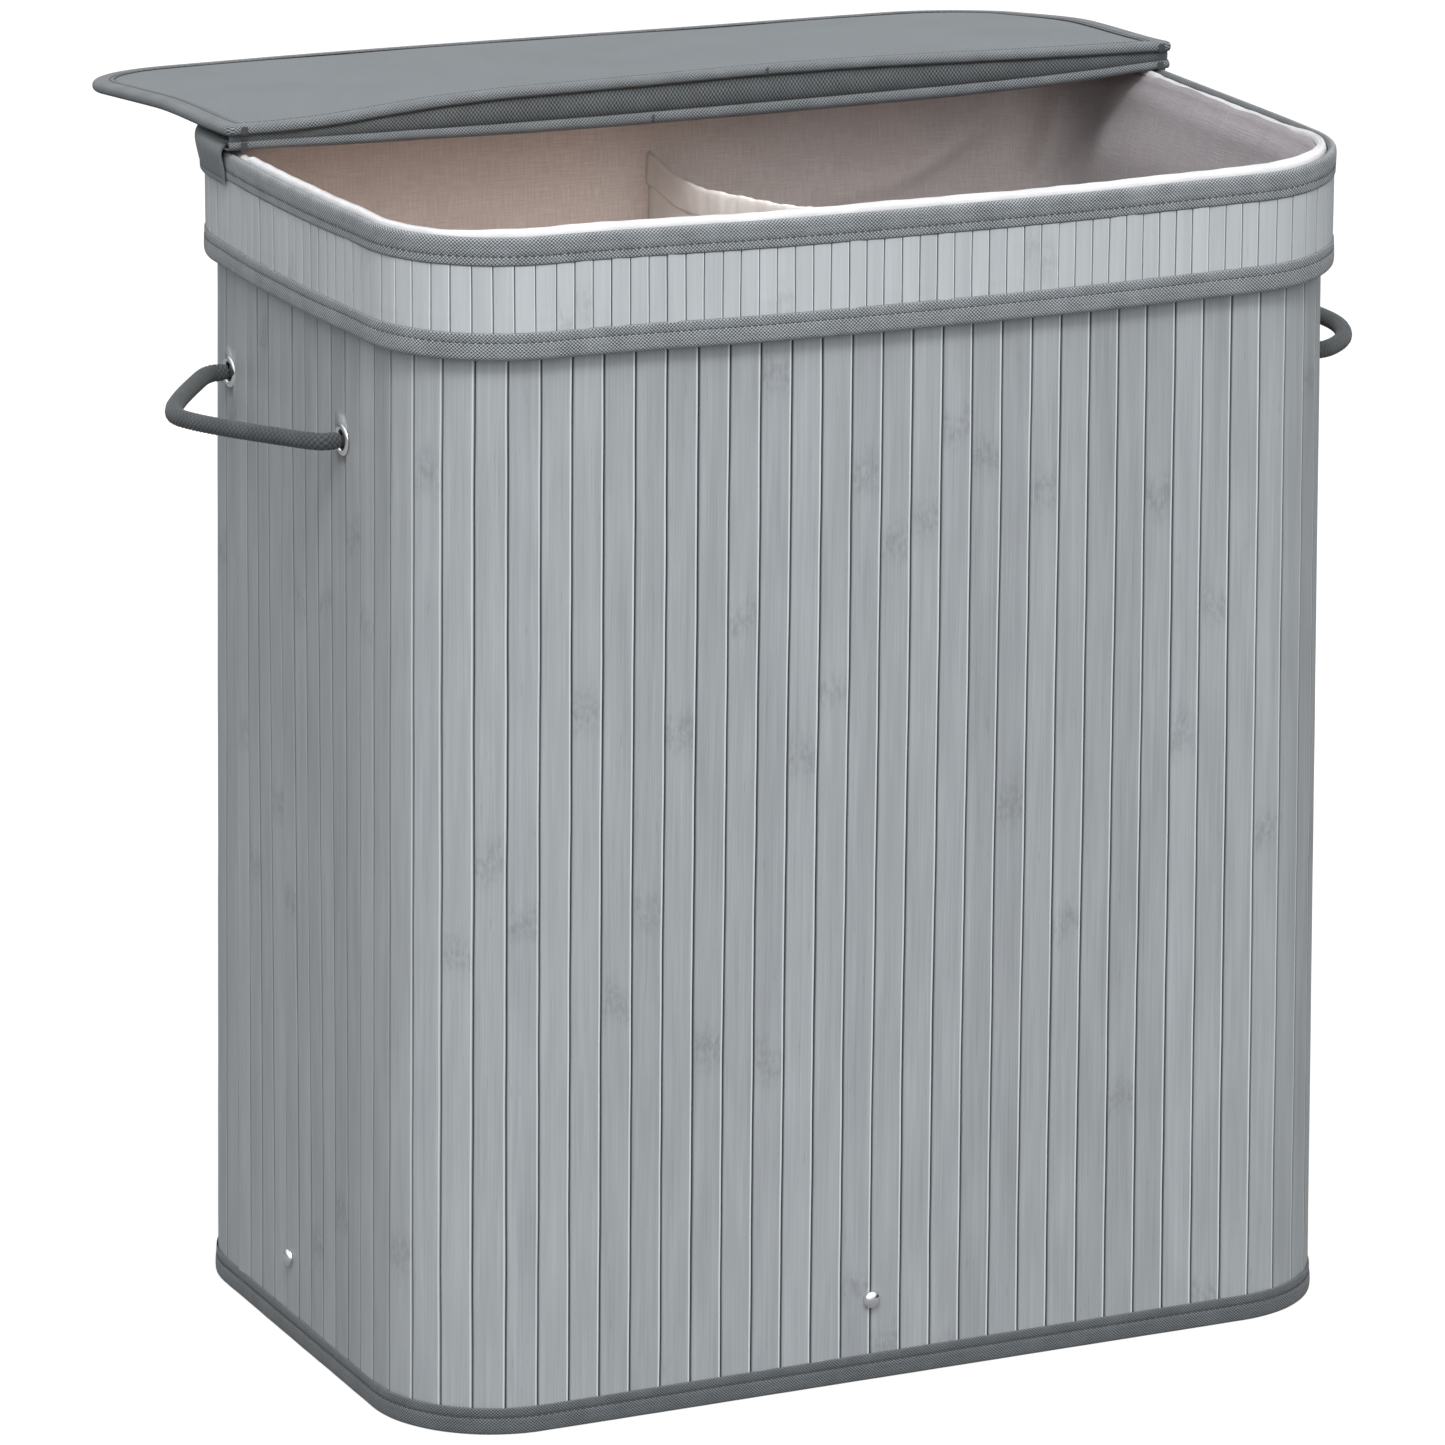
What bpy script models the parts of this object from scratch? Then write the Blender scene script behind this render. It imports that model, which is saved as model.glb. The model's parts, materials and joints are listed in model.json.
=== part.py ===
"""A rectangular bamboo laundry hamper with a divided cloth liner, rope handles and a lift-off lid.

Metres, +Z up, the front faces -Y. The origin is on the floor, below the line on which the lid's
flap turns. The flap is modelled closed and then turned back about that line by its opening angle,
so the hamper rests with its front flap folded back over the rear of the lid.
"""

import math

import bmesh
import bpy
from mathutils import Euler, Matrix, Vector

# Driving dimensions of the body's outer face at its top, and how much wider the base spreads it.
BODY_WIDTH = 0.506
BODY_DEPTH = 0.323
BODY_TOP = 0.5975
CORNER_RADIUS = 0.064
SPREAD_WIDTH = 0.012
SPREAD_DEPTH = 0.006
BODY_Y = -0.067

# The wall: slats outside, a cloth backing inside. Offsets are measured outwards from the slats' face.
WALL_SLATS = 96
FRONT_SLATS = 24
SIDE_SLATS = 14
CORNER_SLATS = 5
SLAT_THICKNESS = 0.0022
BACKING_THICKNESS = 0.0006
GROOVE_WIDTH = 0.0012
GROOVE_DEPTH = 0.0008
GAP = 0.0003

# The lid's ring, which slips over the top of the body.
RING_SLATS = 164
RING_FRONT_SLATS = 40
RING_SIDE_SLATS = 24
RING_CORNER_SLATS = 9
RING_LOW = 0.543
RING_TOP = 0.603
RING_OUTSET = 0.007
RING_SLAT_FACE = 0.006
RING_SLAT_THICKNESS = 0.0018
TAPE_HEIGHT = 0.0133
TAPE_THICKNESS = 0.0007
THIN_TAPE = 0.0005
RING_INNER = 0.0026

# The lid's top: a fixed strip at the rear and a flap in front of it.
HINGE_HEIGHT = 0.61325
FLAP_OPEN = math.radians(185.2)
FLAP_LOW = 0.6052
FLAP_THICKNESS = 0.0056
FLAP_CORNER = 0.055
FLAP_TAPE_WIDTH = 0.0115
FLAP_REACH = 0.2354
FLAP_OVERHANG = 0.003
FLAP_CLOTH = 0.0004
FLAP_EDGE = 0.0008
STRIP_LOW = RING_TOP + GAP
STRIP_BOARD = 0.002
STRIP_FRONT = 0.0065
STRIP_COVER = 0.0005
STRIP_BINDING_HEIGHT = 0.005
HINGE_TAPE_THICKNESS = 0.0052
HINGE_TAPE_REAR = 0.01
SKIRT_FRONT = 0.0075

# Base and fastenings.
BASE_HEIGHT = 0.0505
BASE_BOARD = 0.004
BATTEN = 0.015
SCREW_HEIGHT = 0.0425
SCREW_HEAD_RADIUS = 0.0045
SCREW_HEAD_RIM = 0.0006
SCREW_HEAD_DOME = 0.0026
SCREW_SHANK_RADIUS = 0.0017
SCREW_LENGTH = 0.013
FRONT_SCREW_X = -0.0162
SIDE_SCREW_Y = 0.0121

# Rope handles: one on each short side, through two eyelets.
ROPE_RADIUS = 0.0045
ROPE_HEIGHT = 0.486
ROPE_HALF_SPAN = 0.077
ROPE_REACH = 0.057
ROPE_PIVOT_OUT = 0.0063
HANDLE_SHIFT = {"left": 0.015, "right": -0.008}
EYELET_RADIUS = 0.008
EYELET_BORE = 0.0052
EYELET_SLEEVE = 0.0012
EYELET_FLANGE = 0.0011
KNOT_RADIUS = 0.0083

# The cloth liner.
LINER_OFFSET = -0.0135
LINER_THICKNESS = 0.0012
LINER_FLOOR = 0.0553
CUFF_TOP = 0.6029
CUFF_INNER_LOW = 0.5695
CUFF_OUTER_LOW = 0.5660

CORNER_STEPS = 8


def clear_scene():
    for obj in list(bpy.data.objects):
        bpy.data.objects.remove(obj, do_unlink=True)


def material(name, colour, roughness, metallic=0.0):
    made = bpy.data.materials.new(name)
    made.use_nodes = True
    shader = made.node_tree.nodes["Principled BSDF"]
    shader.inputs["Base Color"].default_value = (*colour, 1.0)
    shader.inputs["Roughness"].default_value = roughness
    shader.inputs["Metallic"].default_value = metallic
    return made


def add_object(name, mesh, finish, smooth=False):
    obj = bpy.data.objects.new(name, mesh)
    bpy.context.scene.collection.objects.link(obj)
    mesh.materials.append(finish)
    if smooth:
        mesh.shade_smooth()
        mesh.set_sharp_from_angle(angle=math.radians(35))
    return obj


def mesh_object(name, points, faces, finish, smooth=False):
    """An object from points and faces, with its normals turned outwards."""
    mesh = bpy.data.meshes.new(name)
    shape = bmesh.new()
    corners = [shape.verts.new(point) for point in points]
    for face in faces:
        shape.faces.new([corners[i] for i in face])
    bmesh.ops.recalc_face_normals(shape, faces=shape.faces)
    shape.to_mesh(mesh)
    shape.free()
    return add_object(name, mesh, finish, smooth)


def body_size(z):
    """Width and depth over the slats at height z: the base spreads the wall a little."""
    share = 1.0 - z / BODY_TOP
    return BODY_WIDTH + SPREAD_WIDTH * share, BODY_DEPTH + SPREAD_DEPTH * share


def ring_size(z):
    return BODY_WIDTH, BODY_DEPTH


def station(size, along):
    """The point and outward normal a share `along` of the way round, from the front's middle to +X."""
    width, depth = size
    half_x, half_y = width / 2 - CORNER_RADIUS, depth / 2 - CORNER_RADIUS
    quarter = math.pi / 2 * CORNER_RADIUS
    length = 4 * (half_x + half_y + quarter)
    rest = (along % 1.0) * length
    runs = (
        (half_x, 0.0, -half_y, -90, False),
        (quarter, half_x, -half_y, -90, True),
        (2 * half_y, half_x, -half_y, 0, False),
        (quarter, half_x, half_y, 0, True),
        (2 * half_x, half_x, half_y, 90, False),
        (quarter, -half_x, half_y, 90, True),
        (2 * half_y, -half_x, half_y, 180, False),
        (quarter, -half_x, -half_y, 180, True),
        (half_x, -half_x, -half_y, 270, False),
    )
    for run, x, y, degrees, bend in runs:
        if rest <= run:
            break
        rest -= run
    angle = math.radians(degrees) + (rest / CORNER_RADIUS if bend else 0.0)
    normal = Vector((math.cos(angle), math.sin(angle)))
    point = Vector((x, y)) + CORNER_RADIUS * normal
    if not bend:
        point += rest * Vector((-normal.y, normal.x))
    return point + Vector((0.0, BODY_Y)), normal


def offset_point(size, along, offset, z):
    point, normal = station(size, along)
    return (*(point + offset * normal), z)


def corner_shares(slats):
    """Shares of the way round at which a smooth band bends: the slat joints about each corner."""
    half_x, half_y = BODY_WIDTH / 2 - CORNER_RADIUS, BODY_DEPTH / 2 - CORNER_RADIUS
    quarter = math.pi / 2 * CORNER_RADIUS
    length = 4 * (half_x + half_y + quarter)
    shares, start = [], half_x
    for flat in (2 * half_y, 2 * half_x, 2 * half_y, 0.0):
        first = math.floor(start / length * slats)
        last = math.ceil((start + quarter) / length * slats)
        shares += [joint / slats for joint in range(first, last + 1)]
        start += quarter + flat
    return shares


def band(name, profile, size_at, finish, slats=WALL_SLATS):
    """A closed band all the way round, with the section `profile`, a list of (offset, z)."""
    shares = corner_shares(slats)
    around, across = len(shares), len(profile)
    points = [
        offset_point(size_at(z), share, offset, z)
        for offset, z in profile
        for share in shares
    ]
    faces = [
        (
            i * around + j,
            i * around + (j + 1) % around,
            (i + 1) % across * around + (j + 1) % around,
            (i + 1) % across * around + j,
        )
        for i in range(across)
        for j in range(around)
    ]
    return mesh_object(name, points, faces, finish, smooth=True)


def box_section(inner, outer, low, high):
    return [(inner, low), (outer, low), (outer, high), (inner, high)]


def channel_section(inner, outer, thickness, closed_z, open_z):
    """A tape folded over an edge at closed_z, with both legs ending at open_z."""
    turn = thickness if closed_z < open_z else -thickness
    return [
        (inner, closed_z),
        (outer, closed_z),
        (outer, open_z),
        (outer - thickness, open_z),
        (outer - thickness, closed_z + turn),
        (inner + thickness, closed_z + turn),
        (inner + thickness, open_z),
        (inner, open_z),
    ]


def slat_section(size, first, last, slats, z, face, thickness):
    """The plan of a run of flat slats at height z: grooved outside, plain inside."""
    half_groove = GROOVE_WIDTH / 2 / (BODY_WIDTH * math.pi)
    outside, inside = [], []
    for joint in range(first, last + 1):
        along = joint / slats
        inside.append(offset_point(size, along, face - thickness, z))
        if first < joint < last:
            outside.append(offset_point(size, along - half_groove, face, z))
            outside.append(offset_point(size, along, face - GROOVE_DEPTH, z))
            outside.append(offset_point(size, along + half_groove, face, z))
        else:
            step_in = 0.00025 if joint == first else -0.00025
            outside.append(offset_point(size, along + step_in, face, z))
            inside[-1] = offset_point(size, along + step_in, face - thickness, z)
    return outside + inside[::-1]


def slat_panel(name, first, last, slats, size_at, low, high, face, thickness, finish):
    """A run of slats as one closed body, from the joint `first` to the joint `last`."""
    lower = slat_section(size_at(low), first, last, slats, low, face, thickness)
    upper = slat_section(size_at(high), first, last, slats, high, face, thickness)
    count = len(lower)
    sides = [(i, (i + 1) % count, count + (i + 1) % count, count + i) for i in range(count)]
    caps = [tuple(range(count)), tuple(range(2 * count - 1, count - 1, -1))]
    return mesh_object(name, lower + upper, sides + caps, finish)


def slat_wall(prefix, slats, front, side, corner, size_at, low, high, face, thickness, finish):
    """Four flat panels and four corner runs. Returns them by the place they take."""
    order = (
        ("front", front),
        ("corner_front_right", corner),
        ("right", side),
        ("corner_back_right", corner),
        ("back", front),
        ("corner_back_left", corner),
        ("left", side),
        ("corner_front_left", corner),
    )
    panels, joint = {}, -front // 2
    for place, count in order:
        name = f"{prefix}_{place}"
        panels[place] = slat_panel(
            name, joint, joint + count, slats, size_at, low, high, face, thickness, finish
        )
        joint += count
    return panels


def drill(name, radius, start, end):
    """A cutter for a round hole between two points on a line along X or Y. It isn't part of the model."""
    start, end = Vector(start), Vector(end)
    shape = bmesh.new()
    turn = (end - start).to_track_quat("Z", "Y").to_matrix().to_4x4()
    place = Matrix.Translation((start + end) / 2) @ turn
    bmesh.ops.create_cone(
        shape,
        cap_ends=True,
        segments=16,
        radius1=radius,
        radius2=radius,
        depth=(end - start).length,
        matrix=place,
    )
    mesh = bpy.data.meshes.new(name)
    shape.to_mesh(mesh)
    shape.free()
    obj = bpy.data.objects.new(name, mesh)
    bpy.context.scene.collection.objects.link(obj)
    obj.hide_render = True
    obj.display_type = "WIRE"
    return obj


def cut(obj, cutter):
    hole = obj.modifiers.new(cutter.name, "BOOLEAN")
    hole.operation = "DIFFERENCE"
    hole.object = cutter


def turned(name, profile, origin, outwards, finish, steps=14):
    """A solid of revolution: profile is a closed list of (radius, distance along `outwards`)."""
    turn = Vector(outwards).to_track_quat("Z", "Y").to_matrix().to_4x4()
    place = Matrix.Translation(origin) @ turn
    points, rings = [], []
    for radius, along in profile:
        if radius == 0:
            rings.append([len(points)] * steps)
            points.append(place @ Vector((0, 0, along)))
            continue
        rings.append(list(range(len(points), len(points) + steps)))
        for k in range(steps):
            angle = 2 * math.pi * k / steps
            points.append(place @ Vector((radius * math.cos(angle), radius * math.sin(angle), along)))
    faces = []
    for i, ring in enumerate(rings):
        after = rings[(i + 1) % len(rings)]
        for k in range(steps):
            corners = [ring[k], ring[(k + 1) % steps], after[(k + 1) % steps], after[k]]
            corners = list(dict.fromkeys(corners))
            if len(corners) > 2:
                faces.append(corners)
    return mesh_object(name, points, faces, finish, smooth=True)


def block(name, low, high, finish):
    """A rectangular block between two opposite corners."""
    shape = bmesh.new()
    bmesh.ops.create_cube(shape, size=1.0)
    low, high = Vector(low), Vector(high)
    bmesh.ops.scale(shape, vec=high - low, verts=shape.verts)
    bmesh.ops.translate(shape, vec=(low + high) / 2, verts=shape.verts)
    mesh = bpy.data.meshes.new(name)
    shape.to_mesh(mesh)
    shape.free()
    return add_object(name, mesh, finish)


def plate(name, plan, low, high, finish):
    """A flat plate with the outline `plan`, a list of (x, y)."""
    count = len(plan)
    points = [(x, y, low) for x, y in plan] + [(x, y, high) for x, y in plan]
    sides = [(i, (i + 1) % count, count + (i + 1) % count, count + i) for i in range(count)]
    caps = [tuple(range(count)), tuple(range(2 * count - 1, count - 1, -1))]
    return mesh_object(name, points, sides + caps, finish)


def wall_x(side, z):
    """The x of the slats' face on a short side at height z."""
    width, _ = body_size(z)
    return (1 if side == "right" else -1) * width / 2


def make_wall(bamboo, cloth):
    """The slat wall with its cloth backing, drilled for the eyelets and the base screws."""
    low = TAPE_THICKNESS + GAP
    panels = slat_wall(
        "slats", WALL_SLATS, FRONT_SLATS, SIDE_SLATS, CORNER_SLATS,
        body_size, low, BODY_TOP, 0.0, SLAT_THICKNESS, bamboo,
    )
    outer = -SLAT_THICKNESS - GAP
    backing = band(
        "wall_backing",
        box_section(outer - BACKING_THICKNESS, outer, low, BODY_TOP),
        body_size,
        cloth,
    )
    for side in ("left", "right"):
        for end, y in eyelet_places(side):
            x = wall_x(side, ROPE_HEIGHT)
            cutter = drill(
                f"eyelet_cutter_{side}_{end}",
                EYELET_BORE + EYELET_SLEEVE + GAP,
                (x - 0.01, y, ROPE_HEIGHT),
                (x + 0.01, y, ROPE_HEIGHT),
            )
            cut(panels[side], cutter)
            cut(backing, cutter)
    for place, (point, outwards) in screw_places().items():
        cutter = drill(
            f"screw_cutter_{place}",
            SCREW_SHANK_RADIUS + GAP,
            point - 0.008 * outwards,
            point + 0.008 * outwards,
        )
        cut(panels[place], cutter)
        cut(backing, cutter)
    return panels


def eyelet_places(side):
    """The two eyelets of a side, as (end, y)."""
    middle = BODY_Y + HANDLE_SHIFT[side]
    return ("front", middle - ROPE_HALF_SPAN), ("rear", middle + ROPE_HALF_SPAN)


def screw_places():
    """Where each base screw's head seats on the slats, and the way it faces."""
    width, depth = body_size(SCREW_HEIGHT)
    z = SCREW_HEIGHT
    return {
        "front": (Vector((FRONT_SCREW_X, BODY_Y - depth / 2, z)), Vector((0, -1, 0))),
        "back": (Vector((-FRONT_SCREW_X, BODY_Y + depth / 2, z)), Vector((0, 1, 0))),
        "left": (Vector((-width / 2, BODY_Y + SIDE_SCREW_Y, z)), Vector((-1, 0, 0))),
        "right": (Vector((width / 2, BODY_Y - SIDE_SCREW_Y, z)), Vector((1, 0, 0))),
    }


def make_edge_tapes(tape, steel):
    """The tapes over the wall's two edges, and the wire that keeps the mouth in shape."""
    inner = -SLAT_THICKNESS - BACKING_THICKNESS - 2 * GAP
    band(
        "bottom_binding",
        channel_section(inner - TAPE_THICKNESS, GAP + TAPE_THICKNESS, TAPE_THICKNESS, 0.0, TAPE_HEIGHT),
        body_size,
        tape,
    )
    closed, open_end = BODY_TOP + GAP + THIN_TAPE, BODY_TOP - TAPE_HEIGHT
    band(
        "top_binding",
        channel_section(inner - THIN_TAPE, GAP + THIN_TAPE, THIN_TAPE, closed, open_end),
        body_size,
        tape,
    )
    radius, centre, height = 0.002, -0.0064, 0.588
    ring = [
        (centre + radius * math.cos(math.pi / 4 * k), height + radius * math.sin(math.pi / 4 * k))
        for k in range(8)
    ]
    band("rim_wire", ring, body_size, steel)


def make_base(board, wood, chrome):
    """The base board on four battens, each held through the wall by one screw."""
    width, depth = body_size(BASE_HEIGHT)
    inset = SLAT_THICKNESS + BACKING_THICKNESS + 3 * GAP
    shares = corner_shares(WALL_SLATS)
    plan = [offset_point((width, depth), share, -inset, 0.0)[:2] for share in shares]
    plate("base_board", plan, BASE_HEIGHT, BASE_HEIGHT + BASE_BOARD, board)
    high = BASE_HEIGHT - GAP
    low = high - BATTEN
    width, depth = body_size(high)
    face_x, face_y = width / 2 - inset, depth / 2 - inset
    half_long, half_short = 0.180, 0.090
    battens = {
        "front": ((-half_long, BODY_Y - face_y), (half_long, BODY_Y - face_y + BATTEN)),
        "back": ((-half_long, BODY_Y + face_y - BATTEN), (half_long, BODY_Y + face_y)),
        "left": ((-face_x, BODY_Y - half_short), (-face_x + BATTEN, BODY_Y + half_short)),
        "right": ((face_x - BATTEN, BODY_Y - half_short), (face_x, BODY_Y + half_short)),
    }
    for place, (near, far) in battens.items():
        batten = block(f"base_batten_{place}", (*near, low), (*far, high), wood)
        point, outwards = screw_places()[place]
        make_screw(place, point, outwards, chrome)
        cutter = drill(
            f"pilot_cutter_{place}",
            SCREW_SHANK_RADIUS + GAP,
            point - (SCREW_LENGTH + GAP) * outwards,
            point + 0.008 * outwards,
        )
        cut(batten, cutter)


def make_screw(place, point, outwards, chrome):
    """A wood screw with a domed head, its shank inside the wall and the batten."""
    rim = GAP + SCREW_HEAD_RIM
    dome = []
    for k in range(5):
        angle = math.pi / 2 * k / 5
        dome.append((SCREW_HEAD_RADIUS * math.cos(angle), rim + SCREW_HEAD_DOME * math.sin(angle)))
    profile = [
        (0, -SCREW_LENGTH),
        (SCREW_SHANK_RADIUS, -SCREW_LENGTH + 0.002),
        (SCREW_SHANK_RADIUS, GAP),
        (SCREW_HEAD_RADIUS, GAP),
        *dome,
        (0, rim + SCREW_HEAD_DOME),
    ]
    turned(f"base_screw_{place}", profile, point, outwards, chrome)


def make_eyelets(side, chrome, rope):
    """Two eyelets with the knotted ends of the handle's rope behind them."""
    outwards = Vector((1 if side == "right" else -1, 0, 0))
    depth = SLAT_THICKNESS + BACKING_THICKNESS + GAP
    sleeve = EYELET_BORE + EYELET_SLEEVE
    flange = [
        (EYELET_BORE, EYELET_FLANGE * 0.5),
        (EYELET_BORE, -depth - GAP - 0.0008),
        (EYELET_RADIUS - 0.001, -depth - GAP - 0.0008),
        (EYELET_RADIUS - 0.001, -depth - GAP),
        (sleeve, -depth - GAP),
        (sleeve, GAP),
        (EYELET_RADIUS, GAP),
        (EYELET_RADIUS - 0.0002, GAP + 0.0006),
        (EYELET_RADIUS - 0.0014, GAP + EYELET_FLANGE),
        (EYELET_BORE + 0.0008, GAP + EYELET_FLANGE),
    ]
    mouth = GAP + EYELET_FLANGE
    knot = [
        (0, mouth),
        (ROPE_RADIUS, mouth),
        (ROPE_RADIUS, -0.0048),
        (0.0065, -0.0050),
        (KNOT_RADIUS - 0.0003, -0.0068),
        (KNOT_RADIUS, -0.0088),
        (KNOT_RADIUS - 0.0003, -0.0108),
        (0.0062, -0.0126),
        (0, -0.0128),
    ]
    for end, y in eyelet_places(side):
        origin = Vector((wall_x(side, ROPE_HEIGHT), y, ROPE_HEIGHT))
        turned(f"{side}_eyelet_{end}", flange, origin, outwards, chrome)
        turned(f"{side}_rope_end_{end}", knot, origin, outwards, rope)


def rope_route(side):
    """Points along a handle's rope, from the turning point at one eyelet to the one at the other."""
    sign = 1 if side == "right" else -1
    pivot = wall_x(side, ROPE_HEIGHT) + sign * ROPE_PIVOT_OUT
    middle = BODY_Y + HANDLE_SHIFT[side]
    # Distance out from the turning point against distance along the wall, for the front half.
    half = (
        (-0.0045, 1.000),
        (0.000, 1.000),
        (0.0045, 0.990),
        (0.0105, 0.920),
        (0.020, 0.750),
        (0.029, 0.580),
        (0.038, 0.400),
        (0.0465, 0.200),
    )
    top = ((ROPE_REACH - ROPE_PIVOT_OUT, 0.0),)
    bow = [(out, -share) for out, share in half] + list(top) + [(out, share) for out, share in half[::-1]]
    return [Vector((pivot + sign * out, middle + share * ROPE_HALF_SPAN, ROPE_HEIGHT)) for out, share in bow]


def smooth_through(points, steps):
    """Points on a smooth curve through the given ones (a Catmull-Rom spline)."""
    made = []
    padded = [2 * points[0] - points[1], *points, 2 * points[-1] - points[-2]]
    for a, b, c, d in zip(padded, padded[1:], padded[2:], padded[3:]):
        for k in range(steps):
            t = k / steps
            square = 2 * a - 5 * b + 4 * c - d
            cube = 3 * b - a - 3 * c + d
            made.append(0.5 * (2 * b + (c - a) * t + square * t**2 + cube * t**3))
    made.append(points[-1])
    return made


def make_rope(side, rope):
    """The bow of a handle's rope, with a round end at each turning point."""
    points = smooth_through(rope_route(side), 2)
    curve = bpy.data.curves.new(f"{side}_handle_rope", "CURVE")
    curve.dimensions = "3D"
    curve.bevel_depth = ROPE_RADIUS
    curve.bevel_resolution = 2
    curve.use_fill_caps = True
    spline = curve.splines.new("POLY")
    spline.points.add(len(points) - 1)
    ends = {0: 0.3, 1: 0.86}
    for i, point in enumerate(points):
        from_end = min(i, len(points) - 1 - i)
        spline.points[i].co = (*point, 1.0)
        spline.points[i].radius = ends.get(from_end, 1.0)
    curve.materials.append(rope)
    obj = bpy.data.objects.new(f"{side}_handle_rope", curve)
    bpy.context.scene.collection.objects.link(obj)


def make_liner(linen, cotton):
    """The liner bag: wall, floor, divider, and the cuff folded over the body's rim."""
    inner = LINER_OFFSET - LINER_THICKNESS
    band(
        "liner_wall",
        box_section(inner, LINER_OFFSET, LINER_FLOOR, CUFF_INNER_LOW - GAP),
        body_size,
        linen,
    )
    floor_size = body_size(LINER_FLOOR)
    plan = [offset_point(floor_size, share, inner - GAP, 0.0)[:2] for share in corner_shares(WALL_SLATS)]
    plate("liner_floor", plan, LINER_FLOOR, LINER_FLOOR + LINER_THICKNESS, linen)
    cuff = [
        (-0.0118, CUFF_INNER_LOW),
        (-0.0103, CUFF_INNER_LOW),
        (-0.0098, BODY_TOP + 0.0015),
        (-0.0060, BODY_TOP + 0.0030),
        (-0.0006, BODY_TOP + 0.0027),
        (0.0011, BODY_TOP + 0.0014),
        (0.0011, CUFF_OUTER_LOW),
        (0.0019, CUFF_OUTER_LOW),
        (0.0019, BODY_TOP + 0.0022),
        (0.0010, CUFF_TOP - 0.0012),
        (-0.0020, CUFF_TOP),
        (-0.0075, CUFF_TOP),
        (-0.0108, CUFF_TOP - 0.0020),
        (-0.0118, BODY_TOP),
    ]
    band("liner_cuff", cuff, body_size, cotton)
    make_divider(inner, cotton)


def make_divider(offset, cotton):
    """The cloth across the middle of the liner, its top edge sagging between front and back."""
    reach = BODY_DEPTH / 2 + offset - GAP
    low = LINER_FLOOR + LINER_THICKNESS + GAP
    steps = 12
    edge = []
    for k in range(steps + 1):
        share = 2 * k / steps - 1
        edge.append((BODY_Y + share * reach, 0.5670 - 0.016 * (1 - share**2)))
    outline = [(BODY_Y - reach, low)] + edge + [(BODY_Y + reach, low)]
    count = len(outline)
    half = 0.0008
    points = [(-half, y, z) for y, z in outline] + [(half, y, z) for y, z in outline]
    sides = [(i, (i + 1) % count, count + (i + 1) % count, count + i) for i in range(count)]
    caps = [tuple(range(count)), tuple(range(2 * count - 1, count - 1, -1))]
    mesh_object("liner_divider", points, sides + caps, cotton)


def make_ring(bamboo, cloth, tape):
    """The lid's ring: a short slat wall with its backing, bound with tape along both edges."""
    low, high = RING_LOW + TAPE_THICKNESS + GAP, RING_TOP - TAPE_THICKNESS - GAP
    slat_wall(
        "ring_slats", RING_SLATS, RING_FRONT_SLATS, RING_SIDE_SLATS, RING_CORNER_SLATS,
        ring_size, low, high, RING_SLAT_FACE, RING_SLAT_THICKNESS, bamboo,
    )
    outer = RING_SLAT_FACE - RING_SLAT_THICKNESS - GAP
    band("ring_backing", box_section(outer - 0.0005, outer, low, high), ring_size, cloth, RING_SLATS)
    band(
        "ring_top_binding",
        channel_section(RING_INNER, RING_OUTSET, THIN_TAPE, RING_TOP, RING_TOP - TAPE_HEIGHT),
        ring_size,
        tape,
        RING_SLATS,
    )
    band(
        "ring_bottom_binding",
        channel_section(RING_INNER, RING_OUTSET, THIN_TAPE, RING_LOW, RING_LOW + TAPE_HEIGHT),
        ring_size,
        tape,
        RING_SLATS,
    )


def rear_plan(inset, front):
    """The plan of the lid's rear strip: the ring's outline behind the line y = front."""
    plan = []
    for share in corner_shares(RING_SLATS):
        x, y, _ = offset_point(ring_size(0), share, RING_OUTSET - inset, 0.0)
        if y > BODY_Y:
            plan.append((x, y))
    half_width = BODY_WIDTH / 2 + RING_OUTSET - inset
    return [(half_width, front), *plan, (-half_width, front)]


def make_strip(board, fabric, tape):
    """The fixed rear strip of the lid, its cover, and the skirt folded down over the ring."""
    plate("rear_board", rear_plan(0.0008, STRIP_FRONT), STRIP_LOW, STRIP_LOW + STRIP_BOARD, board)
    cover_low = STRIP_LOW + STRIP_BOARD + GAP
    plate("rear_cover", rear_plan(GAP, STRIP_FRONT), cover_low, cover_low + STRIP_COVER, fabric)
    half_width = BODY_WIDTH / 2 + RING_OUTSET - 0.001
    block(
        "rear_strip_binding",
        (-half_width, 0.0005, STRIP_LOW),
        (half_width, STRIP_FRONT - GAP, STRIP_LOW + STRIP_BINDING_HEIGHT),
        tape,
    )
    make_rear_skirt(fabric)
    hinge_low = STRIP_LOW + STRIP_BINDING_HEIGHT + GAP
    block(
        "hinge_tape",
        (-half_width, 0.0008, hinge_low),
        (half_width, HINGE_TAPE_REAR, hinge_low + HINGE_TAPE_THICKNESS),
        tape,
    )


def make_rear_skirt(fabric):
    """The strip's cloth, folded down outside the ring's top tape round the two rear corners."""
    inner, outer = RING_OUTSET + GAP, RING_OUTSET + GAP + 0.0007
    low, high = RING_TOP - TAPE_HEIGHT - 0.002, STRIP_LOW + STRIP_BOARD
    plans = []
    for offset in (inner, outer):
        run = [
            offset_point(ring_size(0), share, offset, 0.0)[:2]
            for share in corner_shares(RING_SLATS)
            if offset_point(ring_size(0), share, offset, 0.0)[1] > BODY_Y
        ]
        half_width = BODY_WIDTH / 2 + offset
        plans.append([(half_width, SKIRT_FRONT), *run, (-half_width, SKIRT_FRONT)])
    plate("rear_skirt", plans[0] + plans[1][::-1], low, high, fabric)


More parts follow.
